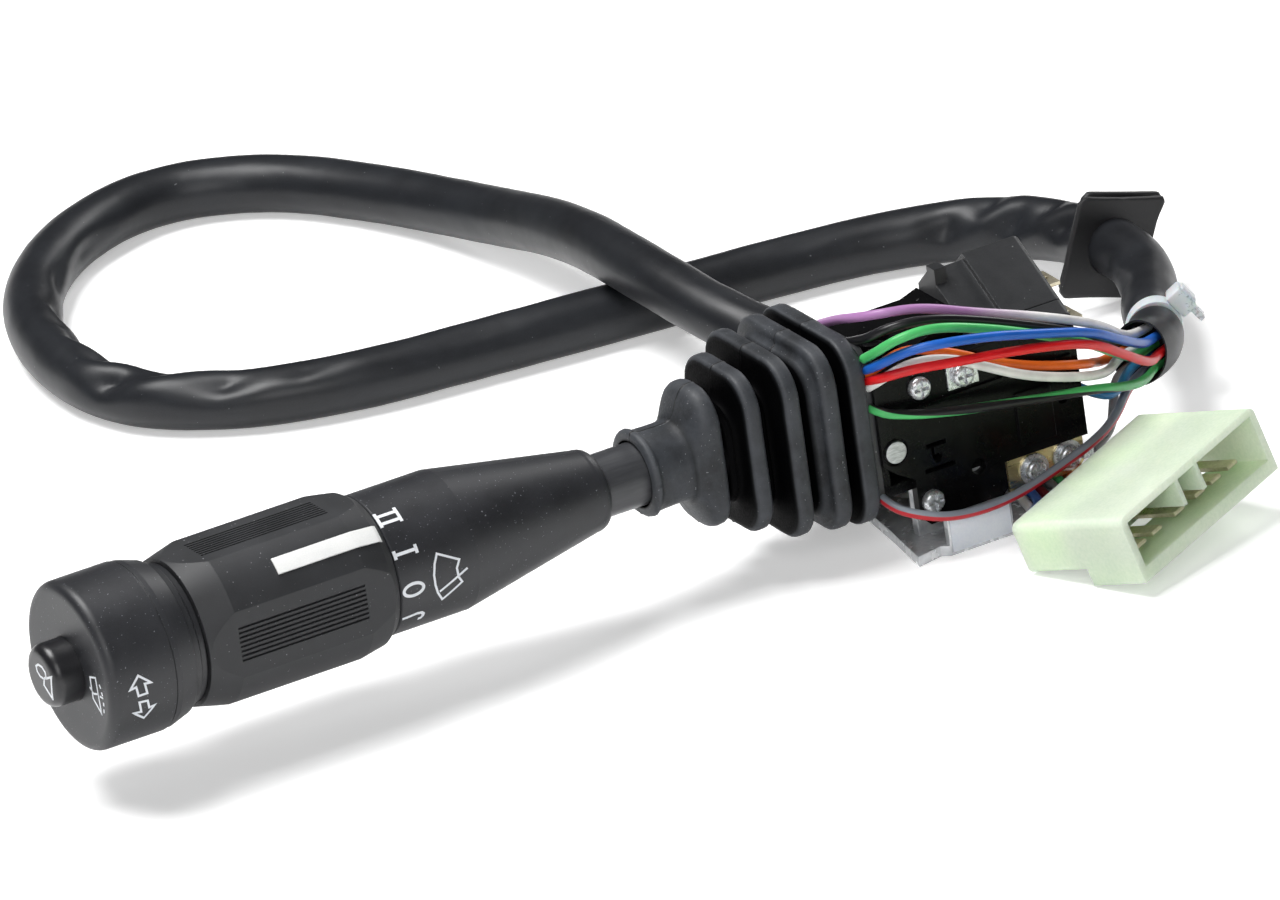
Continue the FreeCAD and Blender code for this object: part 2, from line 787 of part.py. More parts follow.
def dip_return_spring():
    """Torsion spring round the dip pin, under the yoke's eye."""
    turns = 3
    wire = 0.8
    z0 = cradle_bottom + wall
    height = yoke_bottom - running_gap - z0 - wire - 0.2
    helix = Part.makeHelix(height / turns, height, dip_pin_r + 1.0)
    section = Part.Wire(Part.makeCircle(wire / 2, V(dip_pin_r + 1.0, 0, 0), Y_AXIS))
    spring = Part.Wire(helix.Edges).makePipeShell([section], True, True)
    return spring.translated(V(dip_x, 0, z0 + wire / 2 + 0.1))


def detent_plunger():
    """Round-nosed plunger that runs over the notched plate."""
    y = plunger_y()
    tip = pivot_x + plunger_reach()
    body = rod(plunger_r, (cradle_web, y, pivot_z), (tip - plunger_r, y, pivot_z))
    nose = Part.makeSphere(plunger_r, V(tip - plunger_r, y, pivot_z))
    return fuse([body, nose])


def detent_plate():
    """Block with a hollow round face and three notches for the turn signal."""
    y = plunger_y()
    x0 = pivot_x + plunger_reach() - notch_depth
    half = notch_depth
    plate = box(x0, x0 + notch_plate, y - half, y + half, housing_bottom + wall, notch_top)
    face_r = plunger_reach() + detent_gap
    plate = plate.cut(rod(face_r, (pivot_x, y - 3, pivot_z), (pivot_x, y + 3, pivot_z)))
    for angle in (-turn_range, 0, turn_range):
        a = math.radians(angle)
        x = pivot_x + face_r * math.cos(a)
        z = pivot_z + face_r * math.sin(a)
        plate = plate.cut(rod(notch_r, (x - 0.5, y - 3, z), (x - 0.5, y + 3, z)))
    return plate


def slider_y():
    """Y range of the contact slider, beside the cradle's arm."""
    return arm_half + 0.7, arm_half + 0.7 + slider_width


def contact_slider():
    """Contact carrier that the cradle's peg lifts and lowers."""
    x = contact_x()
    y0, y1 = slider_y()
    half = slider_length / 2
    body = box(x - half, x + half, y0, y1, pivot_z - slider_height / 2, pivot_z + slider_height / 2)
    slot = peg_r + 0.12
    return body.cut(box(x - peg_r - 0.9, x + peg_r + 0.4, y0, y1, pivot_z - slot, pivot_z + slot))


def contact_board():
    """Upright board with two guide ribs for the slider."""
    x = contact_x()
    half = slider_length / 2
    y0, y1 = slider_y()
    z0 = housing_bottom + wall
    z1 = housing_top - wall
    board = box(x - half - 1.5, x + half + 1.5, y1 + 0.9, housing_half_depth - wall, z0, z1)
    left = box(x - half - 1.5, x - half - 0.2, y0, y1 + 0.9, z0, z1)
    right = box(x + half + 0.2, x + half + 1.5, y0, y1 + 0.9, z0, z1)
    return fuse([board, left, right])


def contact_strips():
    """Brass strips on the board that the slider bridges."""
    x = contact_x()
    y1 = slider_y()[1] + 0.9
    z0 = housing_bottom + wall
    return [box(x + side * 2.0 - 1.0, x + side * 2.0 + 1.0, y1 - 0.5, y1, z0 + 1.5, housing_top - wall - 1.5)
            for side in (-1, 1)]


def lever_yoke():
    """Die-cast end of the lever: spigot in the tube, bar over the rivet and the dip eye."""
    plug = rod(tube_r - tube_wall - seat_gap, (tube_rear - 12, 0, 0), (tube_rear, 0, 0))
    shoulder = rod(tube_r, (tube_rear, 0, 0), (tube_rear + 1.4, 0, 0))
    bar = box(tube_rear, dip_x, -yoke_half, yoke_half, yoke_bottom, yoke_top)
    eye = rod(yoke_eye_r, (dip_x, 0, yoke_bottom), (dip_x, 0, yoke_top))
    yoke = fuse([plug, shoulder, bar, eye])
    return yoke.cut(rod(dip_pin_r + running_gap, (dip_x, 0, yoke_bottom), (dip_x, 0, yoke_top)))


def lever_tube():
    """Steel tube from the cap guide to the yoke."""
    tube = rod(tube_r, (tube_front, 0, 0), (tube_rear, 0, 0))
    return bored(tube, tube_r - tube_wall, tube_front, tube_rear)


def lever_handle():
    """Moulded handle: spigot under the sleeve, printed barrel and cone down to the tube."""
    steps = 6
    profile = [(spigot_front, spigot_r), (handle_front, spigot_r), (handle_front, handle_r - 0.3),
               (handle_front + 0.3, handle_r), (handle_cone_start, handle_r), (handle_cone_end, handle_end_r)]
    for i in range(1, steps + 1):
        a = math.radians(90 * i / steps)
        profile.append((handle_cone_end + (handle_end - handle_cone_end) * math.sin(a),
                        handle_end_r - handle_end_round * (1 - math.cos(a))))
    handle = bored(turned(profile), tube_r + seat_gap, spigot_front, handle_end)
    hollow = turned([(handle_front + handle_wall, tube_r + seat_gap),
                     (handle_front + handle_wall, handle_r - handle_wall),
                     (handle_cone_start - 0.5, handle_r - handle_wall), (handle_hollow_end, tube_r + seat_gap)])
    core = rod(tube_r, (handle_front, 0, 0), (handle_end, 0, 0))
    handle = handle.cut(hollow.cut(core))
    relief = turned([(spigot_front + 6, spigot_r - handle_wall), (handle_front - 4, spigot_r - handle_wall)])
    handle = handle.cut(relief.cut(core))
    seat = Part.makeSphere(detent_ball_r + seat_gap, V(detent_x, 0, spigot_r + 0.3))
    return handle.cut(seat)


def detent_ball():
    """Ball that clicks in the sleeve."""
    return Part.makeSphere(detent_ball_r, V(detent_x, 0, spigot_r + 0.3))


def sleeve_profile():
    """Outer profile of the rotary sleeve."""
    return [(sleeve_front, sleeve_front_r), (sleeve_full_front, sleeve_r), (sleeve_full_rear, sleeve_r),
            (sleeve_lip, sleeve_lip_r), (sleeve_rear, sleeve_rear_r)]


def rotary_sleeve():
    """Wiper sleeve: round body with four flats, fine ribs on each, relieved inside."""
    sleeve = turned(sleeve_profile())
    for quarter in range(4):
        flat = box(sleeve_front, sleeve_rear, -sleeve_r, sleeve_r, sleeve_flat, sleeve_r + 1)
        grooves = []
        for i in range(rib_count):
            y = (i - (rib_count - 1) / 2) * rib_pitch
            grooves.append(box(rib_front, rib_rear, y - rib_groove / 2, y + rib_groove / 2,
                               sleeve_flat - rib_depth, sleeve_r))
        for cutter in [flat] + grooves:
            cutter.rotate(V(0, 0, 0), X_AXIS, 90 * quarter)
            sleeve = sleeve.cut(cutter)
    sleeve = bored(sleeve, spigot_r + running_gap, sleeve_front, sleeve_rear)
    return bored(sleeve, relief_r, relief_front, relief_rear)


def index_bar():
    """White bar on the ridge between two flats, wrapped over the rear chamfer."""
    raised = turned([(x, r + index_raise) for x, r in sleeve_profile()])
    skin = raised.cut(turned(sleeve_profile()))
    strip = box(index_front, index_rear, -index_width / 2, index_width / 2, 0, sleeve_r + 1)
    bar = skin.common(strip)
    bar.rotate(V(0, 0, 0), X_AXIS, 45)
    return bar


def wiper_contact_ring():
    """Brass ring inside the sleeve that bridges the wiper contacts."""
    ring = rod(relief_r - seat_gap, (contact_ring_front, 0, 0), (contact_ring_rear, 0, 0))
    return bored(ring, relief_r - contact_ring_wall, contact_ring_front, contact_ring_rear)


def end_cap():
    """Cup that slides over its guide: wide front, fine joint line and a chamfered skirt."""
    profile = [(cap_front, cap_r), (cap_step, cap_r), (cap_step, cap_r - cap_groove),
               (cap_step + cap_groove, cap_r - cap_groove), (cap_step + cap_groove, cap_band_r),
               (cap_step + 1.4, cap_band_r), (cap_rear, cap_rear_r)]
    cap = turned(profile)
    rim = [e for e in cap.Edges if e.BoundBox.XMax < cap_front + 0.01 and e.Length > 1]
    cap = cap.makeFillet(cap_edge_round, rim)
    inside = cap_front + cap_front_wall
    cap = bored(cap, guide_r + running_gap, inside, cap_rear)
    return bored(cap, button_r + running_gap, cap_front, inside)


def cap_guide():
    """Drum on the tube that the cap slides over, hollowed for the horn carrier."""
    guide = turned([(guide_front, guide_r), (cap_rear + 1.6, guide_r), (cap_rear + 1.9, guide_r - 0.5),
                    (guide_rear, guide_r - 0.5)])
    guide = bored(guide, carrier_r + 0.5, guide_front, guide_front + guide_recess)
    return bored(guide, tube_r + seat_gap, guide_front + guide_recess, guide_rear)


def washer_spring():
    """Spring between the guide and the cap."""
    radius = (guide_r + carrier_r) / 2
    return coil(radius, washer_wire, cap_front + cap_front_wall + seat_gap, guide_front - seat_gap)


def horn_carrier():
    """Cup behind the horn button that holds its spring and contact."""
    front = cap_front + cap_front_wall
    cup = rod(carrier_r, (front, 0, 0), (carrier_rear, 0, 0))
    return bored(cup, carrier_r - carrier_wall, front, carrier_rear - carrier_floor)


def button_back():
    """X of the horn button's rear face."""
    return cap_front + cap_front_wall + seat_gap + button_flange


def horn_button():
    """Round button with a soft edge, held in by its flange."""
    button = rod(button_r, (button_front, 0, 0), (button_back(), 0, 0))
    rim = [e for e in button.Edges if e.BoundBox.XMax < button_front + 0.01]
    button = button.makeFillet(button_edge_round, rim)
    flange = rod(button_flange_r, (button_back() - button_flange, 0, 0), (button_back(), 0, 0))
    return fuse([button, flange])


def horn_spring():
    """Spring between the button and its carrier."""
    return coil(horn_spring_r, horn_wire, button_back() + seat_gap, carrier_rear - carrier_floor - seat_gap)


def pleat_sections(shrink):
    """Rounded sections down the bellows: in and out over each pleat, then the flange."""
    neck = 2 * (collar_r - 0.7)
    sections = [(collar_rear - 0.6, neck, neck, 0.0)]
    rows = pleats + ((0.0, flange_width, flange_height, flange_drop),)
    for (x, width, height, drop), (x_next, w_next, h_next, d_next) in zip(rows, rows[1:]):
        half = pleat_rim / 2
        for along, inset in ((-half, 1.5), (-half * 0.6, 0.35), (0.0, 0.0), (half * 0.6, 0.35), (half, 1.5)):
            sections.append((x + along, width - 2 * inset, height - 2 * inset, drop))
        deep = 2 * valley_depth
        valley_x = (x + half + x_next - half) / 2 - 0.2
        sections.append((valley_x, width - deep, height - deep, (drop + d_next) / 2))
    if shrink:
        return [(x, w - 2 * shrink, h - 2 * shrink, d) for x, w, h, d in sections]
    return sections


def bellows():
    """Rubber boot: beaded collar, four rounded pleats and the flange."""
    outer = [rounded_section(x, w, h, pleat_corner, d) for x, w, h, d in pleat_sections(0)]
    flange_front = -flange_half
    deep = 2 * valley_depth
    outer.append(rounded_section(flange_front + 0.2, flange_width - deep, flange_height - deep,
                                 pleat_corner, flange_drop))
    body = Part.makeLoft(outer, True, True)
    collar = turned([(collar_front, collar_r - 0.4), (collar_front + 0.3, collar_bead_r - 0.3),
                     (collar_front + 0.8, collar_bead_r), (collar_front + collar_bead, collar_bead_r - 0.2),
                     (collar_front + collar_bead + 0.3, collar_r), (collar_rear, collar_r)])
    flange = rounded_section(flange_front, flange_width, flange_height, flange_corner, flange_drop)
    flange = Part.Face(flange).extrude(V(2 * flange_half, 0, 0))
    rims = [e for e in flange.Edges if e.BoundBox.XLength < 0.01]
    flange = flange.makeFillet(0.8, rims)
    boot = fuse([collar, body, flange])
    inner = [rounded_section(x, w, h, pleat_corner, d) for x, w, h, d in inner_sections()]
    hollow = Part.makeLoft(inner, True, True)
    boot = boot.cut(hollow)
    return bored(boot, tube_r + soft_gap, collar_front, collar_rear + 2)


def inner_sections():
    """Sections of the hollow inside the pleats, a wall in from the valleys."""
    sections = []
    for x, width, height, drop in pleats:
        inset = 2 * (valley_depth + bellows_wall)
        sections.append((x, max(width - inset, 2 * tube_r + 1), max(height - inset, 2 * tube_r + 1), drop))
    sections.insert(0, (collar_rear + 1, 2 * tube_r + 0.8, 2 * tube_r + 0.8, 0.0))
    sections.append((flange_half, flange_opening, flange_opening, 0.0))
    return sections


def connector_frame():
    """Placement that takes the connector's own frame to where it lies."""
    along = V(connector_along).normalize()
    back = (V(connector_out) * -1).normalize()
    up = along.cross(back).normalize()
    back = up.cross(along).normalize()
    rotation = FreeCAD.Rotation(along, back, up, "ZXY")
    return FreeCAD.Placement(connector_corner, rotation)


def tab_places():
    """Local (x, z) of each blade contact."""
    left = (connector_length - top_row[-1]) / 2
    places = [(left + step, tab_row_height + tab_row_spacing) for step in top_row]
    return places + [(left + step, tab_row_height) for step in bottom_row]


def connector_housing():
    """Nylon housing: body with entry holes, taller shroud, cavity with keying webs."""
    body = box(0, connector_length, shroud_depth, connector_depth, shroud_step, shroud_height)
    shroud = box(0, connector_length, 0, shroud_depth, 0, shroud_height)
    housing = fuse([body, shroud])
    long_edges = [e for e in housing.Edges if e.BoundBox.YLength > 5 and e.BoundBox.XLength < 0.01
                  and e.BoundBox.ZLength < 0.01 and (e.CenterOfMass.z > 1)]
    housing = housing.makeFillet(connector_corner_r, long_edges)
    t = shroud_wall
    roof = shroud_height - cavity_roof
    cavity_depth = connector_depth - cavity_back
    housing = housing.cut(box(t, connector_length - t, 0, cavity_depth, cavity_floor, roof))
    for x in web_places:
        housing = housing.fuse(box(x, x + web_thickness, 0, cavity_depth, roof - web_height, roof))
    for x, z in tab_places():
        housing = housing.cut(rod(wire_d / 2 + running_gap, (x, connector_depth - wire_entry, z),
                                  (x, connector_depth, z)))
        half = tab_width / 2
        housing = housing.cut(box(x - half, x + half, cavity_depth, connector_depth - tab_end,
                                  z - tab_thickness / 2, z + tab_thickness / 2))
    return housing.removeSplitter()


def connector_tabs():
    """Blade contacts in two rows."""
    tabs = []
    for x, z in tab_places():
        tab = box(x - tab_width / 2, x + tab_width / 2, tab_free, connector_depth - tab_end,
                  z - tab_thickness / 2, z + tab_thickness / 2)
        nose = [e for e in tab.Edges if e.BoundBox.YMax < tab_free + 0.01 and e.BoundBox.XLength > 1]
        tabs.append(tab.makeChamfer(0.25, nose))
    return tabs


def placed_connector(shapes):
    """Shapes moved from the connector's own frame to where it lies."""
    for shape in shapes:
        shape.Placement = connector_frame().multiply(shape.Placement)
    return shapes


def feeder_routes():
    """Colour to route of each wire between the sheath's end and the connector's rear."""
    frame = connector_frame()
    places = sorted(tab_places())
    end = V(*sheath_route[-1])
    way = (end - V(*sheath_route[-2])).normalize()
    side = way.cross(Z_AXIS).normalize() * -1
    up = way.cross(side).normalize()
    if up.z < 0:
        up = up * -1
    if side.x < 0:
        side = side * -1
    routes = {}
    for i, colour in enumerate(feeder_colours):
        x, z = places[feeder_columns[i]]
        lane = i - (len(feeder_colours) - 1) / 2
        offset = V(0, 0, 0)
        if feeder_angles[i] is not None:
            a = math.radians(feeder_angles[i])
            offset = side * (math.cos(a) * feeder_pitch) + up * (math.sin(a) * feeder_pitch)
        entry = frame.multVec(V(x, connector_depth - wire_entry + 0.5, z))
        outside = frame.multVec(V(x, connector_depth + feeder_clear, z))
        start = end + way * 0.15 + offset
        leaving = end + way * 8 + offset * 1.15
        across = feeder_middle + lane * feeder_pitch
        behind = V(across, feeder_behind, feeder_layer + 0.9 + 0.45 * offset.z)
        under = V(across, feeder_under, feeder_layer)
        rise = feeder_rise if z > tab_row_height else 0
        front = V(across, feeder_front, feeder_layer + rise)
        routes[colour] = [tuple(p) for p in (start, leaving, behind, under, front, outside, entry)]
    return routes


def along_sheath(place):
    """Direction of the sheath at one of its points."""
    i = sheath_route.index(place)
    return (V(*sheath_route[i + 1]) - V(*sheath_route[i - 1])).normalize()


def standing_frame(place, way):
    """Placement at a point with its own Y along the given way and Z as upright as it can be."""
    side = way.cross(Z_AXIS).normalize()
    up = side.cross(way).normalize()
    return FreeCAD.Placement(V(*place), FreeCAD.Rotation(side, way, up, "YZX"))


def bent_hole(radius):
    """Piece of the sheath's path to cut from what sits on it."""
    path, radii = arc_route(sheath_route)
    circle = Part.Wire(Part.makeCircle(radius, V(*sheath_route[0]), V(*sheath_route[1]) - V(*sheath_route[0])))
    return path.makePipeShell([circle], True, False)


def grommet():
    """Panel grommet: two square plates with a groove for the panel between them."""
    side = grommet_side / 2
    groove = grommet_groove_side / 2
    near = grommet_gap / 2
    far = near + grommet_plate
    plates = [box(-side, side, -far, -near, -side, side), box(-side, side, near, far, -side, side)]
    core = box(-groove, groove, -far, far, -groove, groove)
    body = fuse(plates + [core])
    body.rotate(V(0, 0, 0), Y_AXIS, grommet_roll)
    body.Placement = standing_frame(grommet_at, along_sheath(grommet_at)).multiply(body.Placement)
    lift = seat_gap - axis_height - body.BoundBox.ZMin
    if lift > 0:
        body.translate(V(0, 0, lift))
    return body.cut(bent_hole(sheath_d / 2 + seat_gap))


def cable_tie():
    """Tie round the sheath, with its head block and cut tail."""
    band_r = sheath_d / 2 + tie_thickness
    half = tie_band / 2
    band = Part.makeCylinder(band_r, tie_band, V(0, -half, 0), Y_AXIS)
    head_front = band_r + tie_head_depth
    head = box(sheath_d / 2, head_front, -half - 0.6, half + 0.6, -tie_head / 2, tie_head / 2)
    tail = box(band_r, band_r + tie_thickness, 0.4 - half, half - 0.4, tie_head / 2, tie_head / 2 + tie_tail)
    tie = fuse([band, head, tail])
    tie.rotate(V(0, 0, 0), Y_AXIS, -tie_roll)
    tie.Placement = standing_frame(tie_at, along_sheath(tie_at)).multiply(tie.Placement)
    return tie.cut(bent_hole(sheath_d / 2 + seat_gap))


def write(name, shapes):
    """Writes one node, moved from the lever's frame to the part's."""
    solids = shapes if isinstance(shapes, list) else [shapes]
    shape = solids[0] if len(solids) == 1 else Part.makeCompound(solids)
    shape = shape.translated(V(-origin_behind_flange, 0, axis_height))
    shape.exportStep(f"parts/{name}.step")
    count = len(shape.Solids)
    print(f"{name}: {count} solid{'s' if count > 1 else ''}, valid {shape.isValid()},"
          f" volume {shape.Volume:.0f}")


def build():
    """Writes every piece."""
    os.makedirs("parts", exist_ok=True)
    for maker in (
            mounting_bracket, blank_label, housing_main, housing_front, boot_plate, top_switch_block,
            terminal_blades, copper_strip, terminal_plate, screws, earth_strip, ring_terminals,
            pivot_rivet, pivot_cradle, dip_pin, dip_return_spring, detent_plunger, detent_plate,
            contact_slider, contact_board, contact_strips, lever_yoke, lever_tube, lever_handle,
            detent_ball, rotary_sleeve, index_bar, wiper_contact_ring, end_cap, cap_guide,
            washer_spring, horn_carrier, horn_button, horn_spring, bellows, grommet, cable_tie):
        write(maker.__name__, maker())
    write("connector_housing", placed_connector([connector_housing()]))
    write("connector_tabs", placed_connector(connector_tabs()))
    write("sheath", tube_along(sheath_route, sheath_d))
    for name, route in wire_routes.items():
        write(name, tube_along(route, wire_d))
    for colour, route in feeder_routes().items():
        write("feeder_" + colour, tube_along(route, wire_d))


build()
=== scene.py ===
"""Looks of the combination stalk switch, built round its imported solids."""
import bmesh
import bpy
import math
from mathutils import Matrix, Vector, noise


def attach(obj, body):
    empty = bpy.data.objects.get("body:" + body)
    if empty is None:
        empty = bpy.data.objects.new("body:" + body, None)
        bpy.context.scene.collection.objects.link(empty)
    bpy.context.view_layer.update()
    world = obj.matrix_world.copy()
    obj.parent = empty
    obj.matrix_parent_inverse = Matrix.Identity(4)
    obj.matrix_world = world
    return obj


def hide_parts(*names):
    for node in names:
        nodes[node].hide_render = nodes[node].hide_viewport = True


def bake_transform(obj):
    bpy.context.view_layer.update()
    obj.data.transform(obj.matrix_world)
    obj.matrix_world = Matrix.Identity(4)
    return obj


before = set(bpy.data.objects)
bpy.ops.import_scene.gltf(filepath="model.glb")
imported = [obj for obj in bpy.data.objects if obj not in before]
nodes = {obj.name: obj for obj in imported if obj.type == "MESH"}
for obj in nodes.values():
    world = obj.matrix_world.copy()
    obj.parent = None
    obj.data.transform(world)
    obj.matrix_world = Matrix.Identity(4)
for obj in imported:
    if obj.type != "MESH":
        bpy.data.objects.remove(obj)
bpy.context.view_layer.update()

# Place of the lever's frame in the part's frame, in millimetres
ORIGIN_BEHIND = 18.0
AXIS_HEIGHT = 26.0
MM = 0.001
PICTURE_WIDTH = 1280


def at(x, y, z):
    """Point of the lever's frame, in millimetres, as a point of the part's frame, in metres."""
    return Vector(((x - ORIGIN_BEHIND) * MM, y * MM, (z + AXIS_HEIGHT) * MM))


# Camera and cords come first

def make_camera():
    """Camera above the lever's near side, far away so that lines stay parallel."""
    right = Vector((0.862, -0.491, -0.127)).normalized()
    back = Vector((-0.41, -0.823, 0.389)).normalized()
    up = back.cross(right).normalized()
    right = up.cross(back)
    distance = 6.0
    scale = 5.5
    data = bpy.data.cameras.new("camera")
    data.sensor_width = 36.0
    data.lens = data.sensor_width * scale * distance / MM / PICTURE_WIDTH
    data.clip_start = 0.5
    data.clip_end = 30.0
    cam = bpy.data.objects.new("camera", data)
    bpy.context.scene.collection.objects.link(cam)
    place = Matrix((right, up, back)).transposed().to_4x4()
    middle = at(-37.4, 0.0, 4.2)
    place.translation = middle + back * distance
    cam.matrix_world = place
    bpy.context.scene.camera = cam


make_camera()


def link(name, data):
    """New object at the origin of the part's frame."""
    obj = bpy.data.objects.new(name, data)
    bpy.context.scene.collection.objects.link(obj)
    return obj


def mesh_piece(name, points, faces, material, angle=40):
    """Mesh piece with smooth faces and sharp edges above the angle."""
    mesh = bpy.data.meshes.new(name)
    mesh.from_pydata([tuple(p) for p in points], [], faces)
    mesh.update()
    tool = bmesh.new()
    tool.from_mesh(mesh)
    bmesh.ops.remove_doubles(tool, verts=tool.verts, dist=1e-7)
    bmesh.ops.recalc_face_normals(tool, faces=tool.faces)
    tool.to_mesh(mesh)
    tool.free()
    mesh.polygons.foreach_set("use_smooth", [True] * len(mesh.polygons))
    mesh.set_sharp_from_angle(angle=math.radians(angle))
    mesh.materials.append(material)
    return link(name, mesh)


# Materials

def colour(r, g, b):
    """Linear colour from one written 0 to 255."""
    def linear(c):
        c = c / 255
        return c / 12.92 if c <= 0.04045 else ((c + 0.055) / 1.055) ** 2.4
    return (linear(r), linear(g), linear(b), 1.0)


def principled(name, sockets):
    """Material with one surface shader, its fixed sockets set."""
    mat = bpy.data.materials.new(name)
    mat.use_nodes = True
    tree = mat.node_tree
    bsdf = tree.nodes["Principled BSDF"]
    for socket, value in sockets.items():
        bsdf.inputs[socket].default_value = value
    return mat, tree, bsdf


def object_coords(tree, stretch=(1, 1, 1)):
    """Object coordinates, stretched."""
    coords = tree.nodes.new("ShaderNodeTexCoord")
    mapping = tree.nodes.new("ShaderNodeMapping")
    mapping.inputs["Scale"].default_value = stretch
    tree.links.new(coords.outputs["Object"], mapping.inputs["Vector"])
    return mapping.outputs["Vector"]


def noise_at(tree, vector, scale, detail=3.0, roughness=0.55):
    """Noise texture's factor."""
    n = tree.nodes.new("ShaderNodeTexNoise")
    n.inputs["Scale"].default_value = scale
    n.inputs["Detail"].default_value = detail
    n.inputs["Roughness"].default_value = roughness
    tree.links.new(vector, n.inputs["Vector"])
    return n.outputs["Fac"]


def spread(tree, value, low, high, out_low, out_high):
    """Value mapped from one range to another, kept inside it."""
    n = tree.nodes.new("ShaderNodeMapRange")
    n.inputs["From Min"].default_value = low
    n.inputs["From Max"].default_value = high
    n.inputs["To Min"].default_value = out_low
    n.inputs["To Max"].default_value = out_high
    tree.links.new(value, n.inputs["Value"])
    return n.outputs["Result"]


def calc(tree, operation, first, second=None):
    """Math node on sockets or numbers."""
    n = tree.nodes.new("ShaderNodeMath")
    n.operation = operation
    for i, value in enumerate((first, second)):
        if value is None:
            continue
        if isinstance(value, (int, float)):
            n.inputs[i].default_value = value
        else:
            tree.links.new(value, n.inputs[i])
    return n.outputs["Value"]


def mixed_sockets(tree, factor, first, second):
    """Colour mix by socket position, for nodes whose sockets share names."""
    n = tree.nodes.new("ShaderNodeMix")
    n.data_type = "RGBA"
    tree.links.new(factor, n.inputs[0])
    for socket, value in ((n.inputs[6], first), (n.inputs[7], second)):
        if isinstance(value, tuple):
            socket.default_value = value
        else:
            tree.links.new(value, socket)
    return n.outputs[2]


def finish_surface(tree, bsdf, base, rough, height, bump, distance, edge):
    """Links colour, roughness and a bump over softened edges."""
    tree.links.new(base, bsdf.inputs["Base Color"])
    tree.links.new(rough, bsdf.inputs["Roughness"])
    n = tree.nodes.new("ShaderNodeBump")
    n.inputs["Strength"].default_value = bump
    n.inputs["Distance"].default_value = distance
    tree.links.new(height, n.inputs["Height"])
    if edge:
        soft = tree.nodes.new("ShaderNodeBevel")
        soft.samples = 4
        soft.inputs["Radius"].default_value = edge
        tree.links.new(soft.outputs["Normal"], n.inputs["Normal"])
    tree.links.new(n.outputs["Normal"], bsdf.inputs["Normal"])


def moulded(name, dark, light, rough, grain=4500.0, bump=0.25, distance=0.00004, edge=0.00025,
            blotch=90.0, specks=None, stretch=(1, 1, 1), sockets=None):
    """Moulded or worked surface: blotchy tone, fine grain, specks of dust and soft edges."""
    mat, tree, bsdf = principled(name, sockets or {})
    coords = object_coords(tree, stretch)
    broad = noise_at(tree, coords, blotch, 4.0, 0.6)
    fine = noise_at(tree, coords, grain, 2.0, 0.5)
    tone = calc(tree, "ADD", calc(tree, "MULTIPLY", broad, 0.65), calc(tree, "MULTIPLY", fine, 0.35))
    base = mixed_sockets(tree, spread(tree, tone, 0.35, 0.65, 0.0, 1.0), dark, light)
    if specks:
        scale, floor, tint = specks
        dots = spread(tree, noise_at(tree, coords, scale, 1.0, 0.4), floor, floor + 0.03, 0.0, 1.0)
        base = mixed_sockets(tree, dots, base, tint)
    roughness = spread(tree, tone, 0.3, 0.7, rough[0], rough[1])
    finish_surface(tree, bsdf, base, roughness, fine, bump, distance, edge)
    return mat


charcoal = moulded("charcoal_satin", colour(30, 31, 34), colour(44, 45, 49), (0.40, 0.52),
                   grain=5200.0, bump=0.35, specks=(2600.0, 0.74, colour(120, 122, 128)))
sleeve_black = moulded("sleeve_satin", colour(34, 35, 37), colour(46, 47, 50), (0.5, 0.6),
                       grain=5200.0, bump=0.22, specks=(2100.0, 0.76, colour(130, 130, 134)))
button_black = moulded("button_gloss", colour(20, 20, 22), colour(34, 34, 37), (0.28, 0.36), bump=0.08)
housing_black = moulded("housing_gloss", colour(8, 8, 9), colour(16, 16, 17), (0.16, 0.28), bump=0.06,
                        specks=(1500.0, 0.76, colour(80, 80, 80)), sockets={"Specular IOR Level": 0.12})
block_black = moulded("block_satin", colour(34, 35, 37), colour(48, 49, 51), (0.34, 0.46), bump=0.2,
                      specks=(1700.0, 0.78, colour(120, 120, 120)))
cap_guide_black = moulded("guide_satin", colour(34, 35, 37), colour(46, 47, 50), (0.34, 0.44), bump=0.1)
paint_white = moulded("printed_white", colour(226, 230, 236), colour(245, 247, 250), (0.45, 0.6),
                      grain=7000.0, bump=0.1, edge=0)
bar_white = moulded("index_white", colour(232, 233, 232), colour(248, 248, 246), (0.35, 0.45), bump=0.1)
zinc = moulded("zinc_plated", colour(186, 190, 194), colour(228, 230, 232), (0.2, 0.36), grain=2600.0,
               bump=0.06, blotch=500.0, sockets={"Metallic": 0.7})
rivet_steel = moulded("rivet_steel", colour(150, 151, 153), colour(205, 206, 208), (0.28, 0.5),
                      grain=900.0, bump=0.5, blotch=700.0, stretch=(1, 1, 6), sockets={"Metallic": 1.0})
bracket_bright = moulded("bracket_bright", colour(186, 189, 193), colour(240, 242, 244), (0.14, 0.36),
                         grain=420.0, bump=0.7, distance=0.0005, blotch=190.0, edge=0.0003,
                         sockets={"Metallic": 0.5})
steel = moulded("tube_steel", colour(52, 53, 56), colour(72, 73, 76), (0.34, 0.42), grain=2200.0,
                bump=0.12, stretch=(0.1, 1, 1))
brass = moulded("brass", colour(188, 170, 122), colour(224, 208, 160), (0.18, 0.34), grain=1800.0,
                bump=0.15, stretch=(0.2, 1, 1), sockets={"Metallic": 1.0})
tab_metal = moulded("tab_tinned_brass", colour(196, 186, 158), colour(236, 228, 204), (0.24, 0.4),
                    grain=1800.0, bump=0.2, sockets={"Metallic": 0.8})
copper = moulded("copper", colour(170, 112, 88), colour(208, 150, 122), (0.2, 0.36), grain=1800.0,
                 bump=0.15, sockets={"Metallic": 1.0})
spring_steel = moulded("spring_steel", colour(150, 152, 156), colour(190, 192, 196), (0.2, 0.32),
                       grain=2400.0, bump=0.1, sockets={"Metallic": 1.0})
acetal = moulded("acetal", colour(206, 204, 196), colour(226, 224, 216), (0.35, 0.48), bump=0.1)
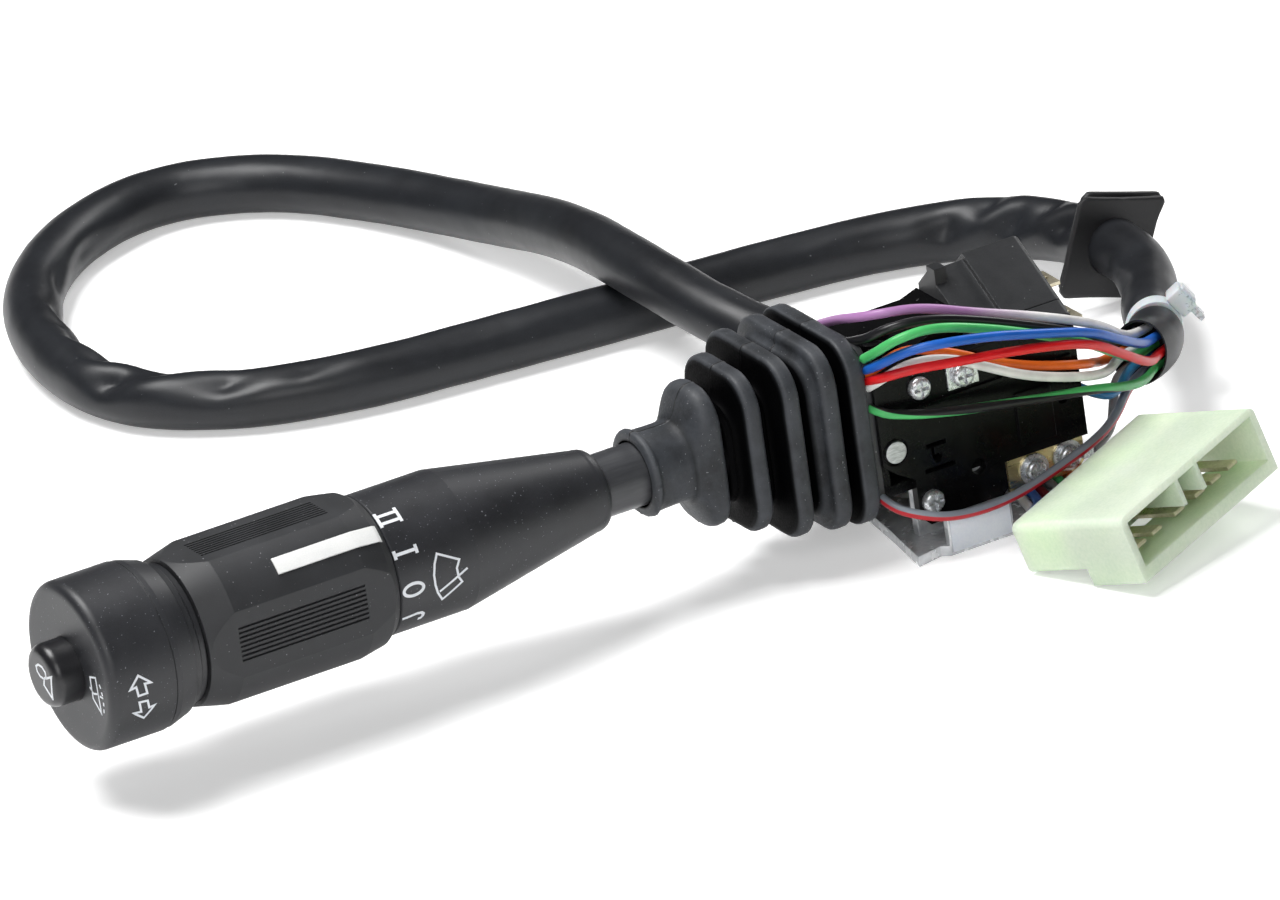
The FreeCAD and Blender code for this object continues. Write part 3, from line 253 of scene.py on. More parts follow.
board = moulded("board_tan", colour(150, 118, 78), colour(176, 142, 98), (0.5, 0.65), bump=0.2,
                stretch=(1, 1, 0.2))
label_vinyl = moulded("label_vinyl", colour(230, 236, 246), colour(243, 247, 253), (0.3, 0.42),
                      grain=3000.0, bump=0.08, edge=0)
nylon = moulded("connector_nylon", colour(202, 230, 190), colour(224, 245, 209), (0.3, 0.42),
                grain=1600.0, bump=0.05, blotch=45.0, edge=0.0004,
                sockets={"Subsurface Weight": 0.7, "Subsurface Scale": 0.009,
                         "Subsurface Radius": (1.0, 1.0, 0.85)})
tie_nylon = moulded("tie_nylon", colour(228, 234, 238), colour(242, 246, 248), (0.25, 0.36),
                    grain=1600.0, bump=0.1, edge=0.0002,
                    sockets={"Subsurface Weight": 0.3, "Subsurface Scale": 0.002,
                             "Transmission Weight": 0.25})
sheath_pvc = moulded("sheath_pvc", colour(24, 25, 28), colour(36, 38, 42), (0.36, 0.46), grain=3800.0,
                     bump=0.08, blotch=60.0, edge=0, specks=(1500.0, 0.79, colour(96, 97, 100)),
                     sockets={"Specular IOR Level": 0.36})
grommet_rubber = moulded("grommet_rubber", colour(24, 24, 26), colour(36, 36, 38), (0.46, 0.6),
                         grain=3000.0, bump=0.2, edge=0.0003, specks=(1400.0, 0.79, colour(100, 100, 100)))


def rubber_material():
    """Bellows rubber: matt, dusty, paler along its rims' edges, with the mould's parting line on top and
    painted shade in its valleys.
    """
    mat, tree, bsdf = principled("bellows_rubber", {})
    coords = object_coords(tree)
    broad = noise_at(tree, coords, 120.0, 5.0, 0.65)
    fine = noise_at(tree, coords, 2400.0, 3.0, 0.6)
    tone = spread(tree, broad, 0.35, 0.65, 0.0, 1.0)
    base = mixed_sockets(tree, tone, colour(32, 34, 37), colour(60, 63, 68))
    geometry = tree.nodes.new("ShaderNodeNewGeometry")
    rim = spread(tree, geometry.outputs["Pointiness"], 0.51, 0.57, 0.0, 0.75)
    rim = calc(tree, "MULTIPLY", rim, spread(tree, fine, 0.3, 0.7, 0.4, 1.0))
    base = mixed_sockets(tree, rim, base, colour(84, 87, 92))
    dust = spread(tree, noise_at(tree, coords, 2300.0, 1.0, 0.4), 0.745, 0.775, 0.0, 0.7)
    base = mixed_sockets(tree, dust, base, colour(140, 142, 146))
    split = tree.nodes.new("ShaderNodeSeparateXYZ")
    tree.links.new(coords, split.inputs["Vector"])
    wander = spread(tree, noise_at(tree, coords, 260.0, 2.0), 0.0, 1.0, -0.0004, 0.0004)
    line = calc(tree, "ABSOLUTE", calc(tree, "ADD", split.outputs["Y"], wander))
    seam = spread(tree, line, 0.0001, 0.00026, 1.0, 0.0)
    base = mixed_sockets(tree, seam, base, colour(14, 14, 15))
    # Painted shade: the valleys between the pleats and a band at the collar's foot are darkened nearly to
    # black, and their reflections weakened too.
    valley_shade = tree.nodes.new("ShaderNodeAttribute")
    valley_shade.attribute_name = "painted_valley_shade"
    base = mixed_sockets(tree, valley_shade.outputs["Fac"], base, colour(3, 3, 4))
    shine = calc(tree, "SUBTRACT", 0.4, calc(tree, "MULTIPLY", valley_shade.outputs["Fac"], 0.37))
    tree.links.new(shine, bsdf.inputs["Specular IOR Level"])
    height = calc(tree, "SUBTRACT", calc(tree, "ADD", fine, calc(tree, "MULTIPLY", broad, 1.5)), seam)
    finish_surface(tree, bsdf, base, spread(tree, fine, 0.3, 0.7, 0.46, 0.66), height, 0.45, 0.00005, 0)
    return mat


bellows_rubber = rubber_material()

STRIPE_FADE = 0.07
STRIPE_EDGE = 0.02
WIRE_SHADE = 0.86


def wire_material(name, main, stripe=None, middle=0.5, half=0.1, twist=0.0, until=1.5):
    """Wire insulation, with a stripe along it as far as until where it has one."""
    sockets = {"Coat Weight": 0.1, "Coat Roughness": 0.25, "Specular IOR Level": 0.3}
    mat, tree, bsdf = principled(name, sockets)
    coords = object_coords(tree)
    broad = noise_at(tree, coords, 240.0, 3.0)
    fine = noise_at(tree, coords, 5000.0, 2.0)
    dark = tuple(c * WIRE_SHADE for c in main[:3]) + (1.0,)
    base = mixed_sockets(tree, spread(tree, broad, 0.35, 0.65, 0.0, 1.0), dark, main)
    if stripe:
        uv = tree.nodes.new("ShaderNodeTexCoord")
        split = tree.nodes.new("ShaderNodeSeparateXYZ")
        tree.links.new(uv.outputs["UV"], split.inputs["Vector"])
        turned = calc(tree, "ADD", split.outputs["Y"], calc(tree, "MULTIPLY", split.outputs["X"], twist))
        turned = calc(tree, "ADD", turned, 0.5 - middle)
        away = calc(tree, "ABSOLUTE", calc(tree, "SUBTRACT", calc(tree, "FRACT", turned), 0.5))
        mask = spread(tree, away, half, half + STRIPE_EDGE, 1.0, 0.0)
        along = spread(tree, split.outputs["X"], until - STRIPE_FADE, until + STRIPE_FADE, 1.0, 0.0)
        mask = calc(tree, "MULTIPLY", mask, along)
        base = mixed_sockets(tree, mask, base, stripe)
    finish_surface(tree, bsdf, base, spread(tree, broad, 0.3, 0.7, 0.28, 0.4), fine, 0.1, 0.00003, 0)
    return mat


WHITE = colour(240, 238, 236)
WIRES = {
    "wire_violet_white": (("violet", WHITE, colour(172, 124, 176), 0.5, 0.42, 0.0, 0.5), (
        (4.2, 3.5, 14.8), (3.6, -4.5, 18.4), (3.6, -12.0, 21.0), (5.8, -17.2, 22.6), (13.4, -19.0, 22.1),
        (24.2, -19.2, 17.6), (35.4, -18.8, 13.3), (46.7, -18.0, 8.2), (53.9, -13.2, 3.2), (60.6, -6.1, -2.9),
        (66.2, -1.2, -5.6))),
    "wire_black": (("black", colour(26, 26, 28)), (
        (3.2, -5.0, 14.0), (3.0, -14.0, 17.0), (6.2, -19.8, 20.6), (14.1, -21.0, 20.3), (25.0, -21.2, 16.4),
        (36.3, -20.4, 11.3), (47.8, -18.0, 5.4), (53.4, -11.9, -0.4), (58.1, -3.7, -4.3),
        (64.3, 0.6, -6.7))),
    "wire_green": (("green", colour(80, 192, 108)), (
        (2.8, -12.0, 12.4), (3.0, -17.6, 15.4), (6.0, -22.2, 19.0), (13.1, -23.4, 19.6), (23.8, -23.3, 15.9),
        (34.7, -22.5, 10.9), (45.1, -20.6, 5.5), (53.4, -15.1, -1.0), (61.0, -7.8, -6.9),
        (66.5, -2.4, -8.7))),
    "wire_blue": (("blue", colour(34, 100, 196)), (
        (2.8, -12.2, 10.4), (3.0, -18.2, 13.2), (7.4, -22.8, 16.4), (13.4, -25.8, 17.0), (23.2, -26.0, 15.3),
        (33.8, -25.0, 12.1), (46.0, -21.8, 7.6), (54.7, -16.3, 1.4), (62.7, -9.0, -4.3),
        (67.8, -3.3, -6.7))),
    "wire_white": (("white", WHITE), (
        (2.7, -12.0, 6.6), (2.9, -17.0, 9.4), (9.3, -19.3, 12.4), (17.0, -19.9, 11.2), (24.3, -20.0, 7.1),
        (33.0, -20.2, 2.3), (44.6, -19.5, -1.8), (52.5, -14.2, -5.0), (59.1, -5.6, -6.9),
        (65.1, -0.8, -8.7))),
    "wire_red": (("red", colour(226, 30, 34)), (
        (2.7, -12.4, 8.6), (2.9, -18.4, 10.8), (8.8, -21.6, 12.0), (16.5, -23.8, 11.6), (25.0, -25.4, 11.1),
        (34.2, -25.6, 9.6), (45.7, -22.5, 5.7), (54.8, -17.5, -1.3), (63.2, -10.5, -7.8),
        (68.1, -4.5, -9.3))),
    "wire_orange": (("orange", colour(238, 110, 40)), (
        (2.8, -12.0, 9.4), (3.0, -16.6, 11.6), (9.6, -17.5, 14.8), (19.3, -17.6, 10.8), (26.6, -17.7, 6.6),
        (35.5, -17.9, 2.8), (46.4, -18.1, -0.2), (51.2, -10.9, -3.6), (56.6, -3.0, -7.8),
        (63.2, 1.1, -9.3))),
    "wire_green_black": (("green_black", colour(84, 196, 112), colour(30, 30, 32), 0.0, 0.2, -1.0), (
        (2.6, -12.0, 4.4), (2.8, -17.4, 3.8), (8.8, -19.0, 2.1), (17.5, -20.0, 0.4), (26.6, -20.2, -1.2),
        (36.4, -20.4, -2.9), (46.7, -19.6, -4.7), (54.5, -15.7, -8.1), (61.7, -9.9, -11.2),
        (67.0, -4.0, -11.8))),
    "wire_grey_red": (("grey_red", colour(142, 148, 158), colour(190, 34, 44), 0.5, 0.14, 0.0), (
        (2.6, -12.5, -13.2), (2.8, -17.4, -14.8), (5.6, -21.4, -16.0), (11.0, -23.4, -17.7),
        (18.5, -23.6, -18.5), (26.5, -23.4, -17.9), (35.4, -22.6, -15.9), (45.2, -21.2, -13.5),
        (52.5, -15.2, -13.1),
        (59.2, -7.4, -12.7), (65.2, -2.2, -12.9))),
    "wire_grey": (("grey", colour(140, 142, 144)), (
        (46.3, -15.9, -17.7), (51.2, -14.4, -16.8), (55.6, -8.4, -14.0), (58.8, -3.8, -12.0),
        (63.4, -0.3, -11.8))),
    "wire_light_blue": (("light_blue", colour(58, 134, 190)), (
        (46.5, -11.0, -6.5), (50.9, -13.2, -9.8), (55.6, -11.2, -10.6), (59.9, -7.0, -9.6),
        (65.5, -1.9, -10.5))),
}
WIRE_D = 1.8
INTO_SHEATH = (4.4, 3.9, -1.2)
SHORTEST_CORD = 0.03


def nurbs(name, points, bevel=0.0):
    """Open spline with the route's points as its control points."""
    data = bpy.data.curves.new(name, "CURVE")
    data.dimensions = "3D"
    data.resolution_u = 10
    data.bevel_depth = bevel
    data.bevel_resolution = 6
    data.use_fill_caps = True
    spline = data.splines.new("NURBS")
    spline.points.add(len(points) - 1)
    for point, place in zip(spline.points, points):
        point.co = (*at(*place), 1.0)
    spline.order_u = 3
    spline.use_endpoint_u = True
    return link(name, data)


def centreline(name, points):
    """Points of the route's spline, in order."""
    curve = nurbs(name, points)
    mesh = bpy.data.meshes.new_from_object(curve)
    found = [v.co.copy() for v in mesh.vertices]
    bpy.data.meshes.remove(mesh)
    bpy.data.objects.remove(curve)
    return found


def line_length(points):
    """Length of a line of points."""
    return sum((b - a).length for a, b in zip(points, points[1:]))


def make_wire(name, points, material):
    """One loose wire, returned when it is too short."""
    length = line_length(centreline("line", points))
    wire = nurbs("loose_" + name, points, WIRE_D / 2 * MM)
    wire.data.materials.append(material)
    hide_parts(name)
    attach(wire, "base")
    if length < SHORTEST_CORD:
        return wire
    return None


FEEDERS = {
    "feeder_white": ("white", WHITE),
    "feeder_blue": ("blue", colour(34, 100, 196)),
    "feeder_dark_red": ("dark_red", colour(120, 24, 36)),
    "feeder_grey": ("grey", colour(120, 124, 130)),
    "feeder_green": ("green", colour(80, 192, 108)),
    "feeder_orange": ("orange", colour(238, 110, 40)),
    "feeder_red": ("red", colour(214, 34, 40)),
}
FEEDER_ROUTES = {
    "feeder_white": (
        (33.68, 43.32, -18.02), (36.98, 36.29, -19.21), (31.05, 22.0, -21.95), (31.05, 4.0, -22.85),
        (31.05, -20.5, -22.85), (21.78, -34.75, -24.04), (24.86, -42.98, -22.1)),
    "feeder_blue": (
        (34.81, 43.59, -16.1), (38.28, 36.6, -16.99), (33.3, 22.0, -21.08), (33.3, 4.0, -22.85),
        (33.3, -20.5, -22.3), (20.54, -33.84, -18.24), (23.62, -42.08, -16.3)),
    "feeder_dark_red": (
        (34.54, 44.11, -19.95), (37.97, 37.19, -21.42), (35.55, 22.0, -22.82), (35.55, 4.0, -22.85),
        (35.55, -20.5, -22.85), (26.27, -32.91, -23.37), (29.35, -41.14, -21.43)),
    "feeder_grey": (
        (35.67, 44.37, -18.02), (39.27, 37.5, -19.21), (37.8, 22.0, -21.95), (37.8, 4.0, -22.85),
        (37.8, -20.5, -22.3), (25.31, -31.89, -17.53), (28.39, -40.12, -15.59)),
    "feeder_green": (
        (36.8, 44.63, -16.1), (40.57, 37.8, -16.99), (40.05, 22.0, -21.08), (40.05, 4.0, -22.85),
        (40.05, -20.5, -22.85), (32.69, -30.28, -22.41), (35.77, -38.51, -20.47)),
    "feeder_orange": (
        (36.53, 45.15, -19.95), (40.26, 38.4, -21.42), (42.3, 22.0, -22.82), (42.3, 4.0, -22.85),
        (42.3, -20.5, -22.3), (32.64, -28.89, -16.43), (35.72, -37.12, -14.49)),
    "feeder_red": (
        (37.66, 45.41, -18.02), (41.56, 38.7, -19.21), (44.55, 22.0, -21.95), (44.55, 4.0, -22.85),
        (44.55, -20.5, -22.3), (43.09, -24.61, -14.87), (46.17, -32.84, -12.93)),
}

for wire_name, (look, route) in WIRES.items():
    route += (tuple(a + b for a, b in zip(route[-1], INTO_SHEATH)),)
    lead = make_wire(wire_name, route, wire_material(*look))
for wire_name, route in FEEDER_ROUTES.items():
    make_wire(wire_name, route, wire_material(*FEEDERS[wire_name]))


# Sheath: a tube along its route with the folds, the pinch under the tie and the open mouth

SHEATH = (
    (65.8, -1.6, -9.3), (72.3, 4.1, -11.0), (80.6, 20.2, -12.2), (90.4, 40.0, -13.4),
    (93.1, 57.5, -14.4), (92.4, 77.0, -17.5), (84.5, 94.5, -20.0), (68.0, 103.8, -20.4),
    (46.2, 108.4, -20.4), (18.5, 112.0, -20.4), (-8.5, 116.0, -20.4), (-33.7, 120.4, -20.4),
    (-54.0, 129.7, -20.4), (-68.2, 147.0, -20.4), (-69.0, 172.5, -20.4), (-60.0, 198.0, -20.4),
    (-42.0, 218.1, -20.4), (-19.3, 226.5, -20.4), (1.0, 216.0, -20.4), (13.8, 192.6, -20.0),
    (19.8, 165.5, -17.5), (20.6, 132.6, -11.5), (18.4, 99.0, -9.0), (21.0, 76.0, -11.5),
    (28.0, 59.0, -15.5), (35.6, 44.5, -18.0),
)
SHEATH_D = 11.0
SHEATH_STEP = 0.0009
SHEATH_WALL = 0.55
WALL_ROWS = 14
TIE_ALONG = 18.0
TIE_PINCH = 1.25
TIE_REACH = 3.0
MOUTH_LENGTH = 7.0
MOUTH_FLARE = 0.35
TAIL_LENGTH = 6.0
TAIL_FLARE = 0.3
# Creases: (millimetres along, turn from the top towards the loop's inside in degrees, length, width, depth)
CREASES = (
    (13.0, 200.0, 5.0, 34.0, 1.4), (36.0, -60.0, 5.0, 34.0, 0.9), (47.0, -20.0, 6.0, 30.0, 1.0),
    (55.0, -75.0, 5.0, 30.0, 0.8), (77.0, -45.0, 4.2, 36.0, 2.1), (85.0, -20.0, 3.4, 30.0, 1.8),
    (93.0, -50.0, 4.0, 38.0, 2.1), (101.0, -15.0, 3.8, 28.0, 1.5), (110.0, -60.0, 4.6, 30.0, 1.3),
    (140.0, -25.0, 9.0, 24.0, 0.5), (205.0, -30.0, 12.0, 26.0, 0.5), (238.0, -20.0, 6.0, 26.0, 0.9),
    (252.0, -28.0, 6.5, 34.0, 2.0), (266.0, 10.0, 5.0, 30.0, 1.2), (274.0, -35.0, 4.2, 42.0, 2.6),
    (283.0, 25.0, 5.0, 30.0, 1.6), (296.0, 55.0, 5.0, 34.0, 1.9), (305.0, 35.0, 4.0, 26.0, 1.2),
    (314.0, 65.0, 6.0, 34.0, 1.7), (331.0, 62.0, 8.0, 22.0, 1.1), (350.0, 85.0, 9.0, 20.0, 0.9),
    (95.0, 0.0, 26.0, 60.0, -1.0), (322.0, -20.0, 30.0, 60.0, -0.5),
)
RINGS_AROUND = 56


def eased(points):
    """Control points moved outwards at the bends, so that the spline runs through the route."""
    inside = [tuple(b + (2 * b - a - c) / 8 for a, b, c in zip(p, q, r))
              for p, q, r in zip(points, points[1:], points[2:])]
    return [points[0]] + inside + [points[-1]]


def fine_steps(points, step):
    """Line divided evenly by arc length, with the distance to each point."""
    lengths = [0.0]
    for a, b in zip(points, points[1:]):
        lengths.append(lengths[-1] + (b - a).length)
    count = max(2, int(lengths[-1] / step))
    found = []
    i = 0
    for k in range(count + 1):
        want = lengths[-1] * k / count
        while i < len(lengths) - 2 and lengths[i + 1] < want:
            i += 1
        share = (want - lengths[i]) / max(lengths[i + 1] - lengths[i], 1e-9)
        found.append((want, points[i].lerp(points[i + 1], share)))
    return found


def bell(x):
    """Smooth bump, 1 in the middle and near 0 beyond 2."""
    return math.exp(-x * x)


def crease(x):
    """Bump with a narrow bottom, for a fold."""
    return math.exp(-abs(x) ** 1.3)


def tube_frames(steps):
    """Centre, side and up direction at each step."""
    frames = []
    for k, (along, centre) in enumerate(steps):
        before = steps[max(k - 1, 0)][1]
        after = steps[min(k + 1, len(steps) - 1)][1]
        way = (after - before).normalized()
        side = way.cross(Vector((0, 0, 1))).normalized()
        frames.append((along, centre, side, side.cross(way).normalized()))
    return frames


def sheath_radius(along, angle, total):
    """Radius of the sheath in millimetres, with its folds, the tie's pinch and its flared ends."""
    r = SHEATH_D / 2
    for place, turn, length, width, depth in CREASES:
        off = (math.degrees(angle) - turn + 180) % 360 - 180
        lean = (along - place + 0.04 * off) / length
        r -= depth * crease(lean) * bell(off / width)
        r += 0.22 * depth * bell(abs(lean) - 1.6) * bell(off / (width * 1.2))
    r -= TIE_PINCH * bell((along - TIE_ALONG) / TIE_REACH)
    mouth = max(0.0, 1 - along / MOUTH_LENGTH)
    r += MOUTH_FLARE * mouth * (1 + math.cos(2 * angle - 0.6))
    tail = max(0.0, 1 - (total - along) / TAIL_LENGTH)
    r += TAIL_FLARE * tail
    p = Vector((along * 0.16, 1.7 * math.cos(angle), 1.7 * math.sin(angle)))
    return r + 0.07 * noise.noise(p) + 0.03 * noise.noise(p * 3.1)


def make_sheath():
    """The sheath as a closed shell with a wall at both open ends."""
    line = centreline("line", eased(SHEATH))
    steps = tube_frames(fine_steps(line, SHEATH_STEP))
    total = steps[-1][0] / MM
    points = []
    rings = []

    def ring(step, inset):
        along, centre, side, up = step
        start = len(points)
        for i in range(RINGS_AROUND):
            a = 2 * math.pi * i / RINGS_AROUND
            r = (sheath_radius(along / MM, a, total) - inset) * MM
            points.append(centre + up * (r * math.cos(a)) + side * (r * math.sin(a)))
        rings.append(start)

    lip = SHEATH_WALL * 0.6
    for step in reversed(steps[1:WALL_ROWS]):
        ring(step, SHEATH_WALL)
    ring(steps[0], lip)
    for step in steps:
        ring(step, 0.0)
    ring(steps[-1], lip)
    for step in reversed(steps[-WALL_ROWS:-1]):
        ring(step, SHEATH_WALL)
    faces = []
    for a, b in zip(rings, rings[1:]):
        for i in range(RINGS_AROUND):
            j = (i + 1) % RINGS_AROUND
            faces.append((a + i, a + j, b + j, b + i))
    for start, middle in ((rings[0], steps[WALL_ROWS - 1][1]), (rings[-1], steps[-WALL_ROWS][1])):
        points.append(middle)
        for i in range(RINGS_AROUND):
            j = (i + 1) % RINGS_AROUND
            faces.append((start + i, start + j, len(points) - 1))
    sheath = mesh_piece("loose_sheath", points, faces, sheath_pvc, 60)
    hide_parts("sheath")
    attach(sheath, "base")


make_sheath()


# Bellows: two parts that meet in a valley

# Pleats and flange: (x, width, height, drop)
PLEATS = ((-26.1, 17.0, 27.5, 0.0), (-19.3, 23.5, 31.5, 0.0), (-12.8, 30.0, 35.5, 0.3),
          (-5.4, 32.0, 36.4, 0.5))
FLANGE = (0.0, 33.0, 37.0, 0.7)
PLEAT_CORNER = 6.8
RIM = 1.9
RIM_DEPTH = 2.2
VALLEY = 5.2
NARROWEST = (16.0, 18.6, 0.0, 0.0)
STEEP = ((0.12, 0.4), (0.26, 0.72), (0.5, 0.94))
SLOPING = ((0.3, 0.16), (0.62, 0.42), (0.84, 0.74))
RIM_ROUND = ((0.85, 0.04), (1.2, 0.15), (1.5, 0.4), (1.72, 0.8), (1.84, 1.35), (1.9, 2.2))
SEAM_AFTER = 3
COLLAR_FOOT = -30.6
FLANGE_HALF = 1.8
VALLEY_CORNER = 5.0
RIDGE = 0.22
RIDGE_CORNER = 5.2
COLLAR_CORNER = 7.3
COLLAR = ((-39.3, 6.9), (-39.25, 7.5), (-39.05, 7.9), (-38.7, 8.1), (-38.2, 8.15), (-37.9, 8.0),
          (-37.7, 7.8), (-37.0, 7.7), (-35.0, 7.65), (-33.0, 7.65), (-31.5, 7.7))
FOOT_SHADE = 0.45
FOOT_REACH = 0.4
VALLEY_SHADE_FROM = 1.4
VALLEY_SHADE_FADE = 0.4
SLOPE_FROM = 1.5
SLOPE_TO = -8.1
SLOPE_FADE = 0.8
PARTING_LIFT = 0.16
ROUGH_UNTIL = -37.4


def section(x, width, height, corner, drop):
    """Points of a rounded rectangle at x, more of them near the parting line."""
    a = width / 2
    b = height / 2
    r = min(corner, a - 0.1, b - 0.1)
    fine = 0.24 / max(a - r, 0.3)
    across = (-0.8, -0.5, -0.25 - fine / 2, -fine, 0.0, fine, 0.25 + fine / 2, 0.5, 0.8)
    down = (-0.75, -0.5, -0.25, 0.0, 0.25, 0.5, 0.75)
    out = []
    for quarter, (sy, sz) in enumerate(((1, 1), (-1, 1), (-1, -1), (1, -1))):
        for k in range(9):
            t = math.radians(90 * k / 8)
            if quarter % 2 == 0:
                dy, dz = math.cos(t), math.sin(t)
            else:
                dy, dz = math.sin(t), math.cos(t)
            out.append((x, sy * (a - r + r * dy), sz * (b - r + r * dz) - drop, 0.0))
        if quarter % 2 == 0:
            for t in across:
                lift = 1.0 if t == 0.0 else 0.0
                out.append((x, -sy * t * (a - r), sz * b - drop, lift * sz))
        else:
            for t in down:
                out.append((x, sy * a, -sz * t * (b - r) - drop, 0.0))
    return out


def bellows_rows():
    """Sections (x, width, height, corner, drop) from collar to flange, and the seam's index."""
    rows = []
    for x, r in COLLAR:
        rows.append((x, 2 * r, 2 * r, COLLAR_CORNER, 0.0))
    rows += [(-30.6, 15.5, 16.2, 7.3, 0.0), (-29.9, 15.6, 18.0, 7.2, 0.0), (-29.3, 15.8, 20.4, 7.1, 0.0),
             (-28.8, 16.0, 22.8, 7.0, 0.0), (-28.3, 16.3, 24.8, 6.9, 0.0), (-27.7, 16.6, 26.3, 6.8, 0.0),
             (-26.9, 16.9, 27.2, 6.8, 0.0), (-26.1, 17.0, 27.5, 6.8, 0.0)]
    spans = PLEATS + (FLANGE,)
    seam = 0
    for k, (here, there) in enumerate(zip(spans, spans[1:])):
        half_there = RIM if k < len(PLEATS) - 1 else FLANGE_HALF
        sloping = k == len(PLEATS) - 2
        share = 0.28 if sloping else 0.5
        middle = here[0] + RIM + (there[0] - half_there - here[0] - RIM) * share
        low_w = max((here[1] + there[1]) / 2 - 2 * VALLEY, NARROWEST[k])
        low_h = (here[2] + there[2]) / 2 - 2 * VALLEY
        low_d = (here[3] + there[3]) / 2
        rows += rim_side(here, 1) + valley_side(here, RIM, middle, low_w, low_h, low_d)
        if k == SEAM_AFTER - 1:
            seam = len(rows)
            rows.append((middle, low_w, low_h, VALLEY_CORNER, low_d))
        else:
            rows += [(middle - RIDGE, low_w, low_h, VALLEY_CORNER, low_d),
                     (middle, low_w + 0.7, low_h + 0.5, RIDGE_CORNER, low_d),
                     (middle + RIDGE, low_w, low_h, VALLEY_CORNER, low_d)]
        if k < len(PLEATS) - 1:
            fall = SLOPING if sloping else STEEP
            second = rim_side(there, -1) + valley_side(there, -RIM, middle, low_w, low_h, low_d, fall)
            rows += second[::-1]
            rows.append((*there[:3], PLEAT_CORNER, there[3]))
        else:
            rows += [(-2.3, low_w, low_h, VALLEY_CORNER, FLANGE[3]),
                     (-1.95, low_w + 1.2, low_h + 1.2, RIDGE_CORNER, FLANGE[3]),
                     (-1.85, FLANGE[1] - 2.0, FLANGE[2] - 2.0, 6.6, FLANGE[3]),
                     (-1.7, FLANGE[1] - 0.7, FLANGE[2] - 0.7, 6.8, FLANGE[3]),
                     (-1.3, FLANGE[1] - 0.1, FLANGE[2] - 0.1, 7.0, FLANGE[3]),
                     (-0.9, *FLANGE[1:3], 7.0, FLANGE[3]), (0.9, *FLANGE[1:3], 7.0, FLANGE[3]),
                     (1.4, FLANGE[1] - 0.3, FLANGE[2] - 0.3, 6.9, FLANGE[3]),
                     (FLANGE_HALF, FLANGE[1] - 1.2, FLANGE[2] - 1.2, 6.6, FLANGE[3])]
    return rows, seam


def rim_side(pleat, way):
    """Sections from a rim's flat top to where its round ends."""
    x, width, height, drop = pleat
    rows = []
    for off, inset in RIM_ROUND:
        rows.append((x + way * off, width - 2 * inset, height - 2 * inset, PLEAT_CORNER - inset * 0.4, drop))
    return rows


def valley_side(pleat, half, middle, low_w, low_h, low_d, falls=STEEP):
    """Sections from the end of a rim's round down to the valley's bottom."""
    x, width, height, drop = pleat
    rows = []
    start_w = width - 2 * RIM_DEPTH
    start_h = height - 2 * RIM_DEPTH
    for share, fall in falls:
        rows.append((x + half + (middle - x - half) * share, start_w + (low_w - start_w) * fall,
                     start_h + (low_h - start_h) * fall, 5.8 - 0.8 * fall, drop + (low_d - drop) * share))
    return rows


def valley_shade_at(x):
    """Painted shade: 0 on a pleat's rim and on the last pleat's sloping front, 1 in the valleys, and a faint
    band at the collar's foot.
    """
    if x < PLEATS[0][0] or x > FLANGE[0]:
        return FOOT_SHADE if abs(x - COLLAR_FOOT) < FOOT_REACH else 0.0
    near = min(abs(x - pleat[0]) for pleat in PLEATS + (FLANGE,))
    share = (near - VALLEY_SHADE_FROM) / VALLEY_SHADE_FADE
    if PLEATS[2][0] + RIM + SLOPE_FROM < x < PLEATS[3][0]:
        share = (SLOPE_TO - x) / SLOPE_FADE
    share = min(1.0, max(0.0, share))
    return share * share * (3 - 2 * share)


def bellows_half(name, rows, inner):
    """Closed rubber ring from its outer and inner sections."""
    points = []
    valley_shades = []
    count = 0
    for row in rows + inner:
        ring = section(*row)
        count = len(ring)
        outside = row in rows
        for x, y, z, lift in ring:
            p = Vector((x, y, z))
            out = Vector((0, y, z)).normalized()
            if outside:
                p += out * (PARTING_LIFT * abs(lift))
                rough = 0.16 if x < ROUGH_UNTIL else 0.05
                p += out * (rough * noise.noise(p * 1.3) + 0.12 * noise.noise(p * 0.22))
            points.append(at(*p))
            valley_shades.append(valley_shade_at(x) if outside else 1.0)
    faces = []
    total = len(rows) + len(inner)
    for k in range(total):
        a = k * count
        b = ((k + 1) % total) * count
        for i in range(count):
            j = (i + 1) % count
            faces.append((a + i, b + i, b + j, a + j))
    boot = mesh_piece(name, points, faces, bellows_rubber, 55)
    # Painted shade for the valleys, kept as a point attribute; the inner walls get it in full.
    valley_shade = boot.data.attributes.new("painted_valley_shade", "FLOAT", "POINT")
    places = [v.co for v in boot.data.vertices]
    table = {tuple(round(c, 6) for c in q): d for q, d in zip(points, valley_shades)}
    valley_shade.data.foreach_set("value", [table.get(tuple(round(c, 6) for c in q), 0.0) for q in places])
    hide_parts("bellows")
    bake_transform(boot)


def make_bellows():
    """Both halves of the bellows."""
    rows, seam = bellows_rows()
    seam_row = rows[seam]
    tunnel = 6.5
    narrow = (2 * tunnel, 2 * tunnel, 6.2, 0.0)
    wide = (18.6, 14.4, 6.6, 0.0)
    front_inner = [(seam_row[0], *wide), (-16.0, 18.2, 14.4, 6.6, 0.0), (-22.7, 15.7, 14.2, 6.4, 0.0),
                   (-30.0, *narrow), (-39.3, 12.8, 12.8, 6.3, 0.0)]
    rear_inner = [(FLANGE_HALF, 20.0, 20.0, 3.0, 0.0), (-6.0, 20.0, 20.0, 3.0, 0.0), (seam_row[0], *wide)]
    bellows_half("bellows_collar_half", rows[:seam + 1], front_inner)
    bellows_half("bellows_flange_half", rows[seam:], rear_inner)


make_bellows()


# Grommet and cable tie

LINE_STEP = 0.0005
WAY_SPAN = 12
SHEATH_LINE = fine_steps(centreline("line", eased(SHEATH)), LINE_STEP)


